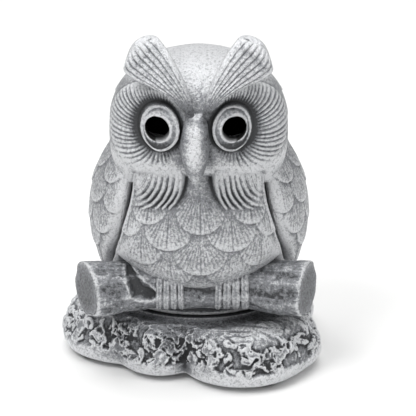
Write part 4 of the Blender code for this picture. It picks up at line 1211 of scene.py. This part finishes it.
def makeStand():
    # a turned foot that narrows to a waist and swells to a bored head with a groove below it
    middle, low, high = middleOf("stick_stand")
    r, z0, tall = (high[0] - low[0]) / 2 - 0.01, low[2] + 0.01, high[2] - low[2] - 0.02
    profile = ((0.2, z0), (r - 0.3, z0), (r, z0 + 0.3), (r, z0 + 1.1), (r - 0.3, z0 + 1.4),
               (r * 0.86, z0 + 1.45), (r * 0.72, z0 + tall * 0.28), (r * 0.50, z0 + tall * 0.42),
               (r * 0.42, z0 + tall * 0.56), (r * 0.42, z0 + tall * 0.68), (2.55, z0 + tall * 0.76),
               (2.6, z0 + tall * 0.84), (2.3, z0 + tall * 0.86), (2.6, z0 + tall * 0.88),
               (2.6, z0 + tall - 0.4), (2.2, z0 + tall), (1.45, z0 + tall), (1.2, z0 + tall - 0.25),
               (1.2, z0 + tall - 4.9), (0.2, z0 + tall - 5.0))
    return turned("stand", profile, 120, middle)


def makeFelt(node, swell, seed):
    # a disc cut from felt: a soft, slightly ragged edge and faces that sag between the fibres
    middle, low, high = middleOf(node)
    r, z0, z1 = (high[0] - low[0]) / 2 - 0.12, low[2] + 0.02, high[2] - 0.02
    profile = ((0.2, z0), (r - 0.5, z0), (r, z0 + 0.35), (r + 0.05, (z0 + z1) / 2), (r, z1 - 0.3),
               (r - 0.5, z1), (0.2, z1))
    return turned("felt", profile, 150, middle, swell, seed)


print("dish, stand, mat and pads")
finishPiece(makeDish(), "ashDish", "dish", dishFinish, "ash_dish")
finishPiece(makeStand(), "stickStand", "stand", standFinish, "stick_stand")
finishPiece(makeFelt("fibre_mat", 0.010, 7), "fibreMat", "mat", matFinish, "fibre_mat")
for number in (1, 2, 3, 4):
    node = f"foot_pad_{number}"
    finishPiece(makeFelt(node, 0.012, 8 + number), f"footPad{number}", "base", padFinish, node)

# Floor, light and camera.

shot = dict(elevation=20.0, distance=0.600, lens=168.2, aim=(0.0054, 0.0, 0.0457))
stage = dict(half=3.0, bendStart=1.2, bendRadius=0.8, top=3.0)
lamps = {"keySoftbox": dict(place=(-0.40, -0.35, 0.70), aim=(0, 0, 0.05), size=(0.35, 0.35), watts=3.2),
         "fillSoftbox": dict(place=(0.65, -0.45, 0.45), aim=(0, 0, 0.05), size=(0.5, 0.6), watts=1.2),
         "topSoftbox": dict(place=(0.0, 0.20, 1.05), aim=(0, 0.1, 0.0), size=(1.1, 0.9), watts=9.0)}
skyStrength = 0.42


def makeStage():
    # a pale sweep of floor that rises behind the object in one large round bend
    bend, start, radius = np.linspace(0.05, math.pi / 2, 24), stage["bendStart"], stage["bendRadius"]
    y = np.concatenate([np.linspace(-stage["half"], start, 20), start + radius * np.sin(bend),
                        np.full(6, start + radius)])
    z = np.concatenate([np.zeros(20), radius - radius * np.cos(bend), np.linspace(0.9, stage["top"], 6)])
    x = np.linspace(-stage["half"], stage["half"], 12)
    verts = np.stack(np.broadcast_arrays(x[None, :], y[:, None], z[:, None]), -1)
    cols = len(x)
    faces = [(r * cols + c, r * cols + c + 1, (r + 1) * cols + c + 1, (r + 1) * cols + c)
             for r in range(len(y) - 1) for c in range(cols - 1)]
    mesh = bpy.data.meshes.new("floor")
    mesh.from_pydata(verts.reshape(-1, 3).tolist(), [], faces)
    mesh.polygons.foreach_set("use_smooth", np.ones(len(mesh.polygons), bool))
    s = Sheet("paleFloor")
    mottle = s.noise(s.place(), 3.0, 2.0, 0.5)
    s.feed("Base Color", s.mixColour(mottle, (0.86, 0.86, 0.855, 1), (0.90, 0.90, 0.895, 1)))
    s.feed("Roughness", 0.9)
    mesh.materials.append(s.material)
    floor = addObject("floor", mesh)


def addLight(name, place, aim, size, watts):
    data = bpy.data.lights.new(name, "AREA")
    data.shape = "RECTANGLE"
    data.size, data.size_y = size
    data.energy = watts
    lamp = addObject(name, data)
    lamp.location = place
    lamp.rotation_euler = (Vector(aim) - Vector(place)).to_track_quat("-Z", "Y").to_euler()


def addCamera():
    data = bpy.data.cameras.new("camera")
    data.lens = shot["lens"]
    data.sensor_width = 36.0
    data.clip_start, data.clip_end = 0.01, 50.0
    camera = addObject("camera", data)
    tilt = math.radians(shot["elevation"])
    aim = Vector(shot["aim"])
    camera.location = aim + Vector((0, -math.cos(tilt), math.sin(tilt))) * shot["distance"]
    camera.rotation_euler = (math.radians(90) - tilt, 0, 0)
    bpy.context.scene.camera = camera


def makeWorld():
    world = bpy.data.worlds.new("studio")
    bpy.context.scene.world = world
    world.use_nodes = True
    background = world.node_tree.nodes["Background"]
    background.inputs["Color"].default_value = (1.0, 1.0, 1.0, 1.0)
    background.inputs["Strength"].default_value = skyStrength


print("stage, light and camera")
makeStage()
makeWorld()
for name, lamp in lamps.items():
    addLight(name, **lamp)
addCamera()
bpy.context.scene.view_settings.view_transform = "Standard"

print("done")
